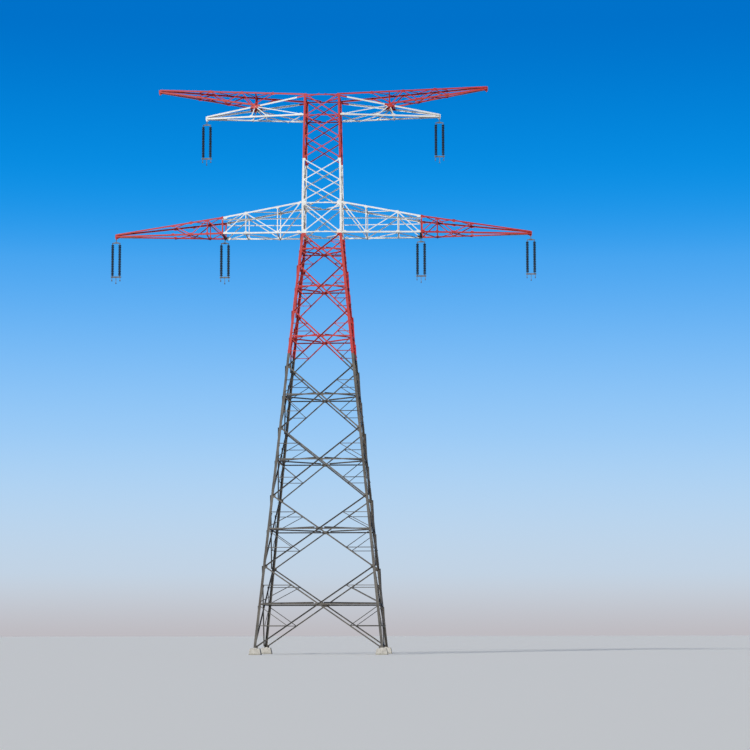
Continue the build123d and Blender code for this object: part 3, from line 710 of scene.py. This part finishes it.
def panel_bolts(panels):
    """Bolts of the diagonals, struts and light bars of these panels on the front face."""
    shapes = []
    crossing = crossings[panels]
    level = crossing[:, None] + np.zeros(2)
    inner_back, light_back = INNER_SEAT - DIAGONAL_WALL, INNER_SEAT - LIGHT_WALL
    for hand in (-1, 1):
        start = on_face(-hand * low_reaches[panels], panel_lows[panels])[:, None]
        end = on_face(hand * high_reaches[panels], panel_highs[panels])[:, None]
        steps = np.array(DIAGONAL_BOLTS)[:, None] * norm(end - start)
        pair = np.array(CROSSING_BOLTS)[:, None] * norm(end - start)
        front, back = (HEAD, -LEG_WALL) if hand == 1 else (0.0, inner_back)
        for points in (start + steps, end - steps, on_face(0.0, crossing)[:, None] + pair):
            shapes += through_bolts(points, BODY_OUT, front, back)
        strut = on_face(hand * np.array(STRUT_BOLTS), level)
        leg = on_face(hand * (half_at(level) - STRUT_END_BOLTS), level)
        shapes += through_bolts(np.concatenate([strut, leg]), BODY_OUT, 0.0, inner_back)
    for hand, rise, across, middle_level, foot_level, outer_diagonal in quarter_places(panels):
        on_leg = (
            on_face(hand * (half_at(middle_level) - 0.085), middle_level),
            on_face(hand * (half_at(foot_level) - 0.1), foot_level + 0.01 * rise),
        )
        leg_grip, hub_grip = (LIGHT_WALL + SEAT_GAP, -LEG_WALL), (LIGHT_WALL + SEAT_GAP, inner_back)
        if outer_diagonal:
            leg_grip, hub_grip = (0.0, light_back), (HEAD, light_back)
        shapes += through_bolts(np.concatenate(on_leg), BODY_OUT, *leg_grip)
        hub = on_face(across, middle_level)
        shapes += through_bolts(hub, BODY_OUT, *hub_grip)
        shapes.append(bolts(hub - LEG_WALL * BODY_OUT, BODY_OUT, HUB_FLATS, LEG_WALL))
    return shapes


def leg_splices(levels):
    """Cover plates over the joints of the legs, on both outer faces, with their bolts."""
    covers, fixings = [], []
    corners = np.array(((-1, -1), (1, -1), (1, 1), (-1, 1)))
    outline = corners * (SPLICE_HALF_WIDTH, SPLICE_HALF_LENGTH)
    spots = [(across, along) for across in (-0.027, 0.027) for along in np.linspace(-0.17, 0.17, 5)]
    for hand in (-1, 1):
        centres = on_face(hand * (half_at(levels) - LEG_FLANGE / 2), levels) + SEAT_GAP * BODY_OUT
        upwards = leg_direction(hand)
        covers.append(plates(centres, (1, 0, 0), upwards, outline, SPLICE_WALL * BODY_OUT))
        places = polygons(centres, [(1, 0, 0)], [upwards], spots)
        fixings += through_bolts(places, BODY_OUT, SPLICE_WALL, -LEG_WALL - SEAT_GAP)
    return covers, fixings


def round_faces(shapes):
    """Shapes of the front face repeated on all four faces."""
    return [turned_shape(shape, side) for side in range(4) for shape in shapes]


splice_levels = body_levels[1:-1] + SPLICE_RISE
for name, finish, part in (
    ("lower", "galvanised", slice(0, GALVANISED_PANELS)),
    ("red", "red", slice(GALVANISED_PANELS, None)),
):
    node_plates = leg_node_plates(body_levels[part]) + crossing_plates(part)
    covers, fixings = leg_splices(splice_levels[part])
    make_piece(f"{name}_light_bars", round_faces(light_bars(part)), finish)
    make_piece(f"{name}_node_plates", round_faces(node_plates + covers), finish)
    make_piece(f"{name}_body_bolts", round_faces(panel_bolts(part) + fixings), finish)


# Piers with chamfered edges and a mortar crown round each leg

def pier_rings(place, sizes):
    """Square rings with cut corners about a place, each given as half width, cut and level."""
    rings = []
    for half, cut, level in sizes:
        corner = ((half - cut, -half, level), (half, cut - half, level))
        ring = np.concatenate([turned(corner, side) for side in range(4)])
        rings.append(ring + (place, place, 0.0))
    return rings


pier_sizes = (
    (PIER_BASE_HALF, PIER_CUT, 0.0),
    (between(PIER_BASE_HALF, PIER_TOP_HALF, PIER_SHOULDER), PIER_CUT, PIER_SHOULDER * PIER_TOP),
    (PIER_TOP_HALF - 0.018, PIER_CUT, PIER_TOP),
)
pier = stacked([pier_rings(PIER_PLACE, pier_sizes)])
crown_sizes = (
    (0.12, CROWN_CUT, PIER_TOP - 0.005),
    (0.105, CROWN_CUT, PIER_TOP + 0.012),
    (0.085, CROWN_CUT, PIER_TOP + 0.03),
)
crown = stacked([pier_rings(PIER_PLACE + 0.022, crown_sizes)])
make_piece("piers", round_faces([pier, crown]), "concrete", replaces=("footings",))


# The cage and the shaft, worked out on the front face and carried round

def shaft_outward(low, high):
    """Outward normal of the front face between two levels."""
    slope = (half_at(high) - half_at(low)) / (high - low)
    return norm(np.array((0.0, -1.0, -float(slope))))


def shaft_corners(levels, width, rise):
    """Plates in the layer of the leg flange, where crossed bars meet the legs at these levels."""
    outward = shaft_outward(levels[0], levels[-1])
    outline = ((0, -rise), (width, -rise / 2), (width, rise / 2), (0, rise))
    shapes = []
    for hand in (-1, 1):
        edges = on_face(hand * (half_at(levels) - SHAFT_LEG_FLANGE), levels)
        shapes.append(plates(edges, (-hand, 0, 0), (0, 0, 1), outline, -SHAFT_LEG_WALL * outward))
    return shapes


def shaft_bolts(low, high):
    """Bolts of one crossed panel, at its corners and where its bars cross."""
    outward = shaft_outward(low, high)
    seat = -SHAFT_LEG_WALL - SEAT_GAP
    shapes = []
    low_half, high_half = half_at(low) - SIDE_INSET, half_at(high) - SIDE_INSET
    for hand in (-1, 1):
        bar = on_face(-hand * low_half, low), on_face(hand * high_half, high)
        shapes += end_bolts(*bar, outward, 0.0, seat - SIDE_WALL)
    middle = between(low, high, low_half / (low_half + high_half))
    shapes += through_bolts(on_face(0.0, middle), outward, seat, seat - SIDE_WALL)
    return shapes


def end_bolts(starts, ends, outward, front, back):
    """Through bolts at both ends of bars."""
    starts = np.atleast_2d(starts)[:, None]
    ends = np.atleast_2d(ends)[:, None]
    steps = np.array(BAR_BOLTS)[:, None] * norm(ends - starts)
    return through_bolts(np.concatenate([starts + steps, ends - steps]), outward, front, back)


def panel_levels(low, high, count):
    """Levels of the joints of panels between two joints of the legs."""
    return np.linspace(low + JOINT_SETBACK, high - JOINT_SETBACK, count + 1)


shaft_sets = {
    "white": (
        (panel_levels(BODY_TOP, CAGE_TOP, 1), CAGE_PLATE),
        (panel_levels(CAGE_TOP, RED_SHAFT_LOW, WHITE_SHAFT_PANELS), SHAFT_PLATE),
    ),
    "red": ((panel_levels(RED_SHAFT_LOW, TOWER_TOP, RED_SHAFT_PANELS), SHAFT_PLATE),),
}
for finish, panel_sets in shaft_sets.items():
    corners, fixings = [], []
    for levels, plate in panel_sets:
        corners += shaft_corners(levels, *plate)
        for low, high in zip(levels, levels[1:]):
            fixings += shaft_bolts(low, high)
    make_piece(f"{finish}_shaft_plates", round_faces(corners), finish)
    make_piece(f"{finish}_shaft_bolts", round_faces(fixings), finish)


# The crossarms and peaks, worked out on the front right quarter and mirrored

class Chord:
    """A front chord of an arm: its corner line and whether its upright flange points up.

    The line runs straight from one bend to the next; a bend is given as reach, half depth and level.
    """

    def __init__(self, upward, *bends):
        self.upward = upward
        self.bends = np.array(bends, float).T

    def corner(self, reaches):
        """Places on the corner line."""
        reaches = np.asarray(reaches, float)
        bend_reaches, halves, levels = self.bends
        across = -np.interp(reaches, bend_reaches, halves)
        return np.stack([reaches, across, np.interp(reaches, bend_reaches, levels)], axis=-1)

    def outward(self, start, end):
        """Level direction out of the arm's side between two reaches."""
        along, across, rise = self.corner(end) - self.corner(start)
        return norm(np.array((across, -along, 0.0)))

    def side(self, reaches):
        """Places half way across the upright flange."""
        return self.corner(reaches) + np.array((0.0, 0.0, self.upward * CHORD_FLANGE / 2))

    def gussets(self, reaches, length, depth):
        """Plates at the nodes, in the layers of both flanges and reaching past their edges."""
        places = self.corner(reaches)
        along = norm(self.corner(np.asarray(reaches, float) + 0.01) - places)
        outline = ((-length, 0), (length, 0), (length / 2, depth), (-length / 2, depth))
        upwards = np.array((0.0, 0.0, self.upward))
        back = np.array((0.0, 1.0, 0.0))
        side = plates(places + CHORD_FLANGE * upwards, along, upwards, outline, CHORD_WALL * back)
        level = plates(places + CHORD_FLANGE * back, along, back, outline, CHORD_WALL * upwards)
        return [side, level]

    def deck_bolts(self, reaches):
        """Bolts of the zigzag laid on this chord and its mirror image, starting on this chord."""
        places = self.corner(reaches)
        places[:, 1] = (-1.0) ** np.arange(len(places)) * (places[:, 1] + CHORD_FLANGE / 2)
        run = places[-1] - places[0]
        outward = norm(np.array((run[2], 0.0, -run[0])) * self.upward)
        return end_bolts(places[:-1], places[1:], outward, 2 * SEAT_GAP + WEB_WALL, -CHORD_WALL)


def web_bolts(first, second, nodes, posts, outward):
    """Bolts of an upright side: a zigzag from the first chord to the second and back, and posts."""
    on_first = (np.arange(len(nodes)) % 2 == 0)[:, None]
    bars = np.where(on_first, first.side(nodes), second.side(nodes))
    starts = np.concatenate([bars[:-1], first.side(posts)])
    ends = np.concatenate([bars[1:], second.side(posts)])
    return end_bolts(starts, ends, outward, 0.0, WEB_BACK)


def tip_bolts(chords, reach, outward):
    """Bolts that hold the ends of the chords to the hanging plate at a tip."""
    spots = reach - np.array(TIP_BOLT_PLACES)
    points = np.concatenate([chord.side(spots) for chord in chords])
    return through_bolts(points, outward, 0.0, -CHORD_WALL)


def tip_floor(chord, reach):
    """A plate under the bottom chords, from the hanging plate inwards, as wide as the chords."""
    front = chord.corner((reach - TIP_FLOOR_LENGTH, reach - TIP_FLOOR_GAP)) - (0.0, 0.0, SEAT_GAP)
    section = np.concatenate([front, front[::-1] * (1, -1, 1)])
    return prisms([section], [(0.0, 0.0, -WEB_WALL)])


def arm_pieces(name, finish, gussets, side_shapes, deck_shapes):
    """Gusset plates and bolts of a stretch of both arms, from its front side and its decks."""
    make_piece(f"{name}_plates", in_quarters(gussets), finish)
    make_piece(f"{name}_bolts", both_ways(both_ways(side_shapes, 1) + deck_shapes, 0), finish)


WEB_BACK = -CHORD_WALL - SEAT_GAP - WEB_WALL
box_start = WAIST_HALF + BUTT_GAP + WEB_FLANGE
box_stop = BOX_END - WEB_FLANGE
tip_start = BOX_END + WEB_FLANGE
beam_side = BEAM_WIDTH / 2 + WEB_FLANGE
low_chord = Chord(
    1.0,
    (WAIST_HALF, WAIST_HALF, BODY_TOP),
    (BOX_END, LOWER_ARM_END_HALF, BODY_TOP),
    (LOWER_ARM_REACH, TIP_HALF, BODY_TOP),
)
high_chord = Chord(
    -1.0,
    (WAIST_HALF, WAIST_HALF, CAGE_TOP),
    (BOX_END, LOWER_ARM_END_HALF, BODY_TOP + LOWER_ARM_END_DEPTH),
    (LOWER_ARM_REACH, TIP_HALF, BODY_TOP + LOWER_ARM_TIP_DEPTH),
)

# White box of the lower crossarm
side_out = low_chord.outward(WAIST_HALF, BOX_END)
side_shapes = web_bolts(
    high_chord, low_chord, (box_start, *LOWER_ARM_NODES, box_stop), LOWER_ARM_NODES, side_out
)
deck_shapes = low_chord.deck_bolts((box_start, *LOWER_ARM_NODES, BOX_END - beam_side))
deck_shapes += high_chord.deck_bolts((box_start, *LOWER_ARM_NODES, box_stop))
gusset_places = (box_start + BOX_GUSSET[0], *LOWER_ARM_NODES, box_stop - 0.07)
gussets = low_chord.gussets(gusset_places, *BOX_GUSSET) + high_chord.gussets(gusset_places, *BOX_GUSSET)
rail_start, rail_end = low_chord.corner((WAIST_HALF + BUTT_GAP, tip_start)) + (0.0, 0.0, LOWER_RAIL)
rails = [angle_bars(rail_start, rail_end, side_out, RAIL_FLANGE, LIGHT_WALL, -CHORD_WALL, 1)]
rail_spots = low_chord.corner(LOWER_ARM_NODES) + (0.0, 0.0, LOWER_RAIL)
side_shapes += through_bolts(rail_spots, side_out, LIGHT_WALL - CHORD_WALL, WEB_BACK)
make_piece("lower_arm_rails", in_quarters(rails), "white")
arm_pieces("lower_arm", "white", gussets, side_shapes, deck_shapes)

# Bolts of the hanging beams
beam_spots = [
    (BOX_END + along, hand * (LOWER_ARM_END_HALF - step * CHORD_FLANGE), BODY_TOP + CHORD_WALL)
    for hand in (-1, 1)
    for along in (-BEAM_WIDTH / 4, BEAM_WIDTH / 4)
    for step in (0.25, 0.7)
]
make_piece("hanging_beam_bolts", both_ways([bolts(beam_spots, (0, 0, 1))], 0), "dark_galvanised")

# Red pyramid of the lower crossarm
side_out = low_chord.outward(BOX_END, LOWER_ARM_REACH)
side_shapes = web_bolts(low_chord, high_chord, (tip_start, *TIP_NODES), TIP_NODES[:1], side_out)
side_shapes += tip_bolts((low_chord, high_chord), LOWER_ARM_REACH, side_out)
deck_shapes = low_chord.deck_bolts((BOX_END + beam_side, *TIP_NODES))
deck_shapes += high_chord.deck_bolts((tip_start, *TIP_NODES))
gusset_places = (tip_start + TIP_GUSSET[0], *TIP_NODES)
gussets = low_chord.gussets(gusset_places, *TIP_GUSSET) + high_chord.gussets(gusset_places, *TIP_GUSSET)
arm_pieces("lower_tip", "red", gussets, side_shapes, deck_shapes)
make_piece("lower_tip_floors", both_ways([tip_floor(low_chord, LOWER_ARM_REACH)], 0), "red")

# White upper crossarm
upper_low = Chord(
    1.0,
    (TOP_HALF, TOP_HALF, UPPER_ARM_LEVEL),
    (UPPER_ARM_REACH, TIP_HALF, UPPER_ARM_LEVEL),
)
upper_high = Chord(
    -1.0,
    (TOP_HALF, TOP_HALF, TOWER_TOP - UPPER_CHORD_DROP),
    (UPPER_ARM_REACH, TIP_HALF, UPPER_ARM_LEVEL + UPPER_ARM_TIP_DEPTH),
)
side_out = upper_low.outward(TOP_HALF, UPPER_ARM_REACH)
foot = float(half_at(UPPER_ARM_LEVEL)) + BUTT_GAP + WEB_FLANGE
heels = (foot, *UPPER_FEET)
knees = np.full(len(heels), POST_REACH)
side_shapes = end_bolts(upper_low.side(heels), upper_high.side(knees), side_out, 0.0, WEB_BACK)
side_shapes += tip_bolts((upper_low, upper_high), UPPER_ARM_REACH, side_out)
deck_shapes = upper_low.deck_bolts((foot, *UPPER_DECK_NODES))
gussets = upper_low.gussets((foot + TIP_GUSSET[0], *UPPER_FEET), *TIP_GUSSET)
make_piece("upper_tip_floors", both_ways([tip_floor(upper_low, UPPER_ARM_REACH)], 0), "white")
arm_pieces("upper_arm", "white", gussets, side_shapes, deck_shapes)

# Red saddles that carry the peaks on the upper crossarm
saddle_ends = (POST_REACH - SADDLE_HALF, POST_REACH + SADDLE_HALF)
seats = upper_high.corner(saddle_ends) + (0.0, CHORD_FLANGE / 2, 0.0)
far_seats = seats * (1, -1, 1)
slope_run = seats[1] - seats[0]
downward = norm(np.array((slope_run[2], 0.0, -slope_run[0])))
bar_ends = seats[[0, 1, 0, 1]], far_seats[[1, 0, 0, 1]]
saddle_bars = angle_bars(*bar_ends, downward, DIAGONAL_FLANGE, WEB_WALL, CHORD_WALL + SEAT_GAP, 1)
saddle_outline = (
    (-SADDLE_HALF, 0.01), (-0.1, -0.13), (0.1, -0.13), (SADDLE_HALF, 0.01), (0.1, 0.03), (-0.1, 0.03),
)
saddle_centre = upper_high.corner(POST_REACH)
saddle_plate = plates(saddle_centre, norm(slope_run), (0, 0, 1), saddle_outline, WEB_WALL * side_out)
make_piece("peak_saddles", both_ways(both_ways([saddle_plate], 1) + [saddle_bars], 0), "red")

# Red peaks
peak_tip_level = TOWER_TOP + PEAK_RISE
peak_heel = -upper_high.corner(POST_REACH)[1]
peak_heel_level = upper_high.corner(POST_REACH - WEB_FLANGE)[2] + 2 * SEAT_GAP
peak_high = Chord(-1.0, (TOP_HALF, TOP_HALF, TOWER_TOP), (PEAK_REACH, TIP_HALF, peak_tip_level))
peak_low = Chord(
    1.0,
    (POST_REACH, peak_heel, peak_heel_level),
    (PEAK_REACH, TIP_HALF, peak_tip_level - PEAK_TIP_DEPTH),
)
deck_shapes = peak_high.deck_bolts(PEAK_NODES) + peak_low.deck_bolts(PEAK_NODES[2:])
side_shapes = tip_bolts((peak_low, peak_high), PEAK_REACH, np.array((0.0, -1.0, 0.0)))
gussets = peak_high.gussets(PEAK_NODES[::2], *PEAK_GUSSET)
gussets += peak_low.gussets(PEAK_NODES[3::2], *PEAK_GUSSET)
arm_pieces("peak", "red", gussets, side_shapes, deck_shapes)

# Shackles in the eyes at the peaks' tips
peak_eye = peak_tip_level - PEAK_TIP_DEPTH - HANGER_DROP
turn = np.linspace(0, np.pi, 9)
bow = [(SHACKLE_HALF * np.cos(t), -0.03 - SHACKLE_HALF * np.sin(t)) for t in turn]
path = [(SHACKLE_HALF, 0.008), *bow, (-SHACKLE_HALF, 0.008)]
pin_end = (PEAK_REACH, -SHACKLE_HALF - 0.012, peak_eye)
shackle = [
    rod([(PEAK_REACH, across, peak_eye + rise) for across, rise in path]),
    bolts(pin_end, (0, 1, 0), 0.016, 2 * SHACKLE_HALF + 0.024),
]
make_piece("peak_shackles", both_ways(shackle, 0), "fitting")


# Step bolts up two opposite legs

def step_bolts(low, high):
    """Round bars with heads, standing out from the two flanges of the front right leg in turn."""
    count = int((high - low) / STEP_PITCH) + 1
    levels = low + STEP_PITCH * np.arange(count)
    shapes = []
    for side, outward in enumerate(((0.0, -1.0, 0.0), (1.0, 0.0, 0.0))):
        chosen = levels[side::2]
        face = half_at(chosen)
        across = face - STEP_EDGE
        points = np.stack([face, -across, chosen] if side else [across, -face, chosen], axis=-1)
        shapes.append(bolts(points, outward, STEP_WIDTH, STEP_LENGTH))
        shapes.append(bolts(points + STEP_LENGTH * np.array(outward), outward, STEP_HEAD))
        shapes.append(bolts(points, outward, STEP_HEAD, 0.008))
    return shapes


STEP_BANDS = {
    "lower": (PIER_TOP + 1.2, RED_PAINT_LEVEL - 0.1, "galvanised"),
    "red_body": (RED_PAINT_LEVEL + 0.09, BODY_TOP - 0.1, "red"),
    "white_shaft": (BODY_TOP + 0.1, RED_SHAFT_LOW - 0.1, "white"),
    "red_shaft": (RED_SHAFT_LOW + 0.1, TOWER_TOP - 0.1, "red"),
}
for name, (low, high, finish) in STEP_BANDS.items():
    shapes = step_bolts(low, high)
    shapes += [turned_shape(shape, 2) for shape in shapes]
    make_piece(f"{name}_step_bolts", shapes, finish)


# Insulator strings

def disc_parts(centres):
    """Glazed shells and their iron caps and pins, one above the other from each centre down."""
    shell = (
        (0.024, -0.018), (0.036, -0.021), (0.052, -0.026), (0.063, -0.032), (0.069, -0.040), (0.070, -0.046),
        (0.070, -0.078), (0.068, -0.082), (0.065, -0.081), (0.062, -0.066), (0.058, -0.064), (0.056, -0.076),
        (0.053, -0.076), (0.050, -0.061), (0.046, -0.059), (0.044, -0.072), (0.041, -0.072), (0.038, -0.056),
        (0.033, -0.055), (0.031, -0.067), (0.028, -0.067), (0.024, -0.052), (0.010, -0.050),
    )
    cap = (
        (0.010, 0.0), (0.020, -0.001), (0.024, -0.005), (0.025, -0.014), (0.028, -0.021), (0.031, -0.025),
        (0.031, -0.029), (0.024, -0.032), (0.008, -0.046), (0.0075, -0.085),
    )
    return revolved(shell, centres, 24), revolved(cap, centres, 16)


def arcing_horn(across, start_level, tip_level, reach):
    """A bent rod: straight out along the line, then a quarter circle and a straight stretch."""
    radius = min(0.04, reach / 2)
    turn = np.linspace(0, np.pi / 2, 7)
    sign = np.sign(tip_level - start_level)
    outwards = reach - radius + radius * np.sin(turn)
    levels = start_level + sign * radius * (1 - np.cos(turn))
    bend = np.stack([np.full(len(turn), across), outwards, levels], axis=1)
    path = np.concatenate([[(across, 0.0, start_level)], bend, [(across, reach, tip_level)]])
    return rod(path)


def string_bolts():
    """Bolt heads and nuts of one string about its pin: pin, link, both yokes and clamps."""
    shapes = []
    sets = (
        ([(0.0, 0.0)], PIN_FACE, 0.034, 0.014),
        ([(0.0, level) for level in LINK_BOLTS], LINK_FACE, 0.02, 0.008),
        (YOKE_BOLTS, YOKE_FACE, 0.026, 0.01),
        ([(across, LOWER_YOKE_MIDDLE) for across in LOWER_YOKE_BOLTS], LOWER_YOKE_FACE, 0.026, 0.01),
    )
    for spots, face, across_flats, height in sets:
        for hand in (-1, 1):
            outward = np.array((0.0, hand, 0.0))
            points = face * outward + [(across, 0.0, -level) for across, level in spots]
            shapes.append(bolts(points, outward, across_flats, height))
            shapes.append(bolts(points + height * outward, outward, 0.5 * across_flats, 0.4 * height))
    points = [(across + x, y, -level) for across, level in CLAMP_TOPS for x, y in CLAMP_BOLT_SPOTS]
    shapes.append(bolts(points, (0, 0, 1), 0.013, 0.008))
    shapes.append(bolts(np.array(points) + (0, 0, 0.008), (0, 0, 1), 0.007, 0.008))
    return shapes


pins = {joint["child"]: np.array(joint["pos_m"], float) for joint in frame["joints"]}
for body, pin in pins.items():
    place = body.removesuffix("_string")
    tops = pin[2] - DISC_TOP - np.arange(DISC_COUNT) * DISC_PITCH
    across = np.repeat(pin[0] + np.array((-STRING_HALF, STRING_HALF)), DISC_COUNT)
    centres = np.stack([across, np.full(2 * DISC_COUNT, pin[1]), np.tile(tops, 2)], axis=1)
    shells, caps = disc_parts(centres)
    horns = [arcing_horn(hand * STRING_HALF, *sizes) for hand in (-1, 1) for sizes in HORNS]
    horns = [(vertices + pin, faces) for vertices, faces in both_ways(horns, 1)]
    fixings = [(vertices + pin, faces) for vertices, faces in string_bolts()]
    make_piece(f"{place}_shells", [shells], "glaze", body, (f"{place}_discs",), smooth=True)
    make_piece(f"{place}_caps", [caps], "iron", body, smooth=True)
    make_piece(f"{place}_arcing_horns", horns, "fitting", body, smooth=True)
    make_piece(f"{place}_bolts", fixings, "fitting", body)


# Camera, floor and light

CAMERA_PLACE = (7.0, -111.0, 0.97)
CAMERA_YAW = -2.3
CAMERA_PITCH = 6.41
CAMERA_ROLL = -0.09
FOCAL_PIXELS = 2303.7
PICTURE_WIDTH = 750
SENSOR = 36.0
FLOOR_RADIUS = 900.0
FLOOR_SIDES = 96
FLOOR_SEEN = (0.93, 0.92, 0.88, 1)
FLOOR_BOUNCE = (0.2, 0.19, 0.17, 1)

camera_data = bpy.data.cameras.new("camera")
camera_data.sensor_width = SENSOR
camera_data.lens = FOCAL_PIXELS / PICTURE_WIDTH * SENSOR
camera_data.clip_end = 2000.0
camera = add_object("camera", camera_data)
aim = Euler((radians(90 + CAMERA_PITCH), 0, radians(-CAMERA_YAW))).to_matrix().to_4x4()
roll = Matrix.Rotation(radians(CAMERA_ROLL), 4, "Z")
camera.matrix_world = Matrix.Translation(CAMERA_PLACE) @ aim @ roll
bpy.context.scene.camera = camera


def ground():
    """A wide flat floor: one face whose corners are radius times cosine and sine of the turn."""
    turn = np.linspace(0, 2 * np.pi, FLOOR_SIDES, endpoint=False)
    rim = FLOOR_RADIUS * np.stack([np.cos(turn), np.sin(turn), np.zeros(FLOOR_SIDES)], axis=1)
    mesh = bpy.data.meshes.new("floor")
    mesh.from_pydata(rim.tolist(), [], [list(range(FLOOR_SIDES))])
    mesh.update()
    mesh.materials.append(floor_material())
    return add_object("floor", mesh)


def seen_in(tree, *kinds):
    """1 for what the camera sees itself or by these kinds of rays, otherwise 0."""
    paths = wire(tree, "ShaderNodeLightPath")
    seen = paths.outputs["Is Camera Ray"]
    for kind in kinds:
        seen = maths(tree, "MAXIMUM", seen, paths.outputs[f"Is {kind} Ray"])
    return seen


def floor_material():
    """Plain pale floor that keeps the object's shadow and throws little light back up."""
    material, tree, shader = new_material("pale_floor", 0.9, 0.0)
    colour = blended(tree, seen_in(tree, "Glossy"), FLOOR_BOUNCE, FLOOR_SEEN)
    tree.links.new(colour, shader["Base Color"])
    return material


floor = ground()

# Backdrop colours from the horizon upwards, each with its share of the way to the top of the frame
BACKDROP_TOP = 0.26
BACKDROP = (
    (0.0, (0.5, 0.46, 0.48, 1)),
    (0.1, (0.6, 0.7, 0.8, 1)),
    (0.33, (0.34, 0.63, 0.96, 1)),
    (0.62, (0.01, 0.34, 0.88, 1)),
    (0.8, (0.0, 0.25, 0.74, 1)),
    (1.0, (0.0, 0.15, 0.56, 1)),
)
AMBIENT = (0.13, 0.15, 0.19, 1)
world = bpy.data.worlds.new("studio")
world.use_nodes = True
bpy.context.scene.world = world
tree = world.node_tree
background = tree.nodes["Background"]
place = wire(tree, "ShaderNodeTexCoord")
direction = wire(tree, "ShaderNodeSeparateXYZ", {"Vector": place.outputs["Generated"]})
height = maths(tree, "DIVIDE", direction.outputs[2], BACKDROP_TOP)
backdrop = wire(tree, "ShaderNodeValToRGB", {"Fac": height})
backdrop.color_ramp.interpolation = "B_SPLINE"
stops = backdrop.color_ramp.elements
for at, colour in BACKDROP[1:-1]:
    stops.new(at)
for stop, (at, colour) in zip(stops, BACKDROP):
    stop.position = at
    stop.color = colour
seen = seen_in(tree, "Transmission", "Glossy")
tree.links.new(blended(tree, seen, AMBIENT, backdrop.outputs["Color"]), background.inputs["Color"])


def sun(name, strength, softness, pitch, heading, colour):
    """A soft directional lamp: tilted from straight down by pitch, from the side given by heading."""
    data = bpy.data.lights.new(name, "SUN")
    data.energy = strength
    data.angle = radians(softness)
    data.color = colour
    add_object(name, data).rotation_euler = (radians(pitch), 0, radians(heading))


sun("key_light", 2.75, 4, 60, -28, (1.0, 0.98, 0.94))
sun("front_light", 0.85, 40, 86, -4, (0.96, 0.98, 1.0))

bpy.context.scene.view_settings.view_transform = "Standard"
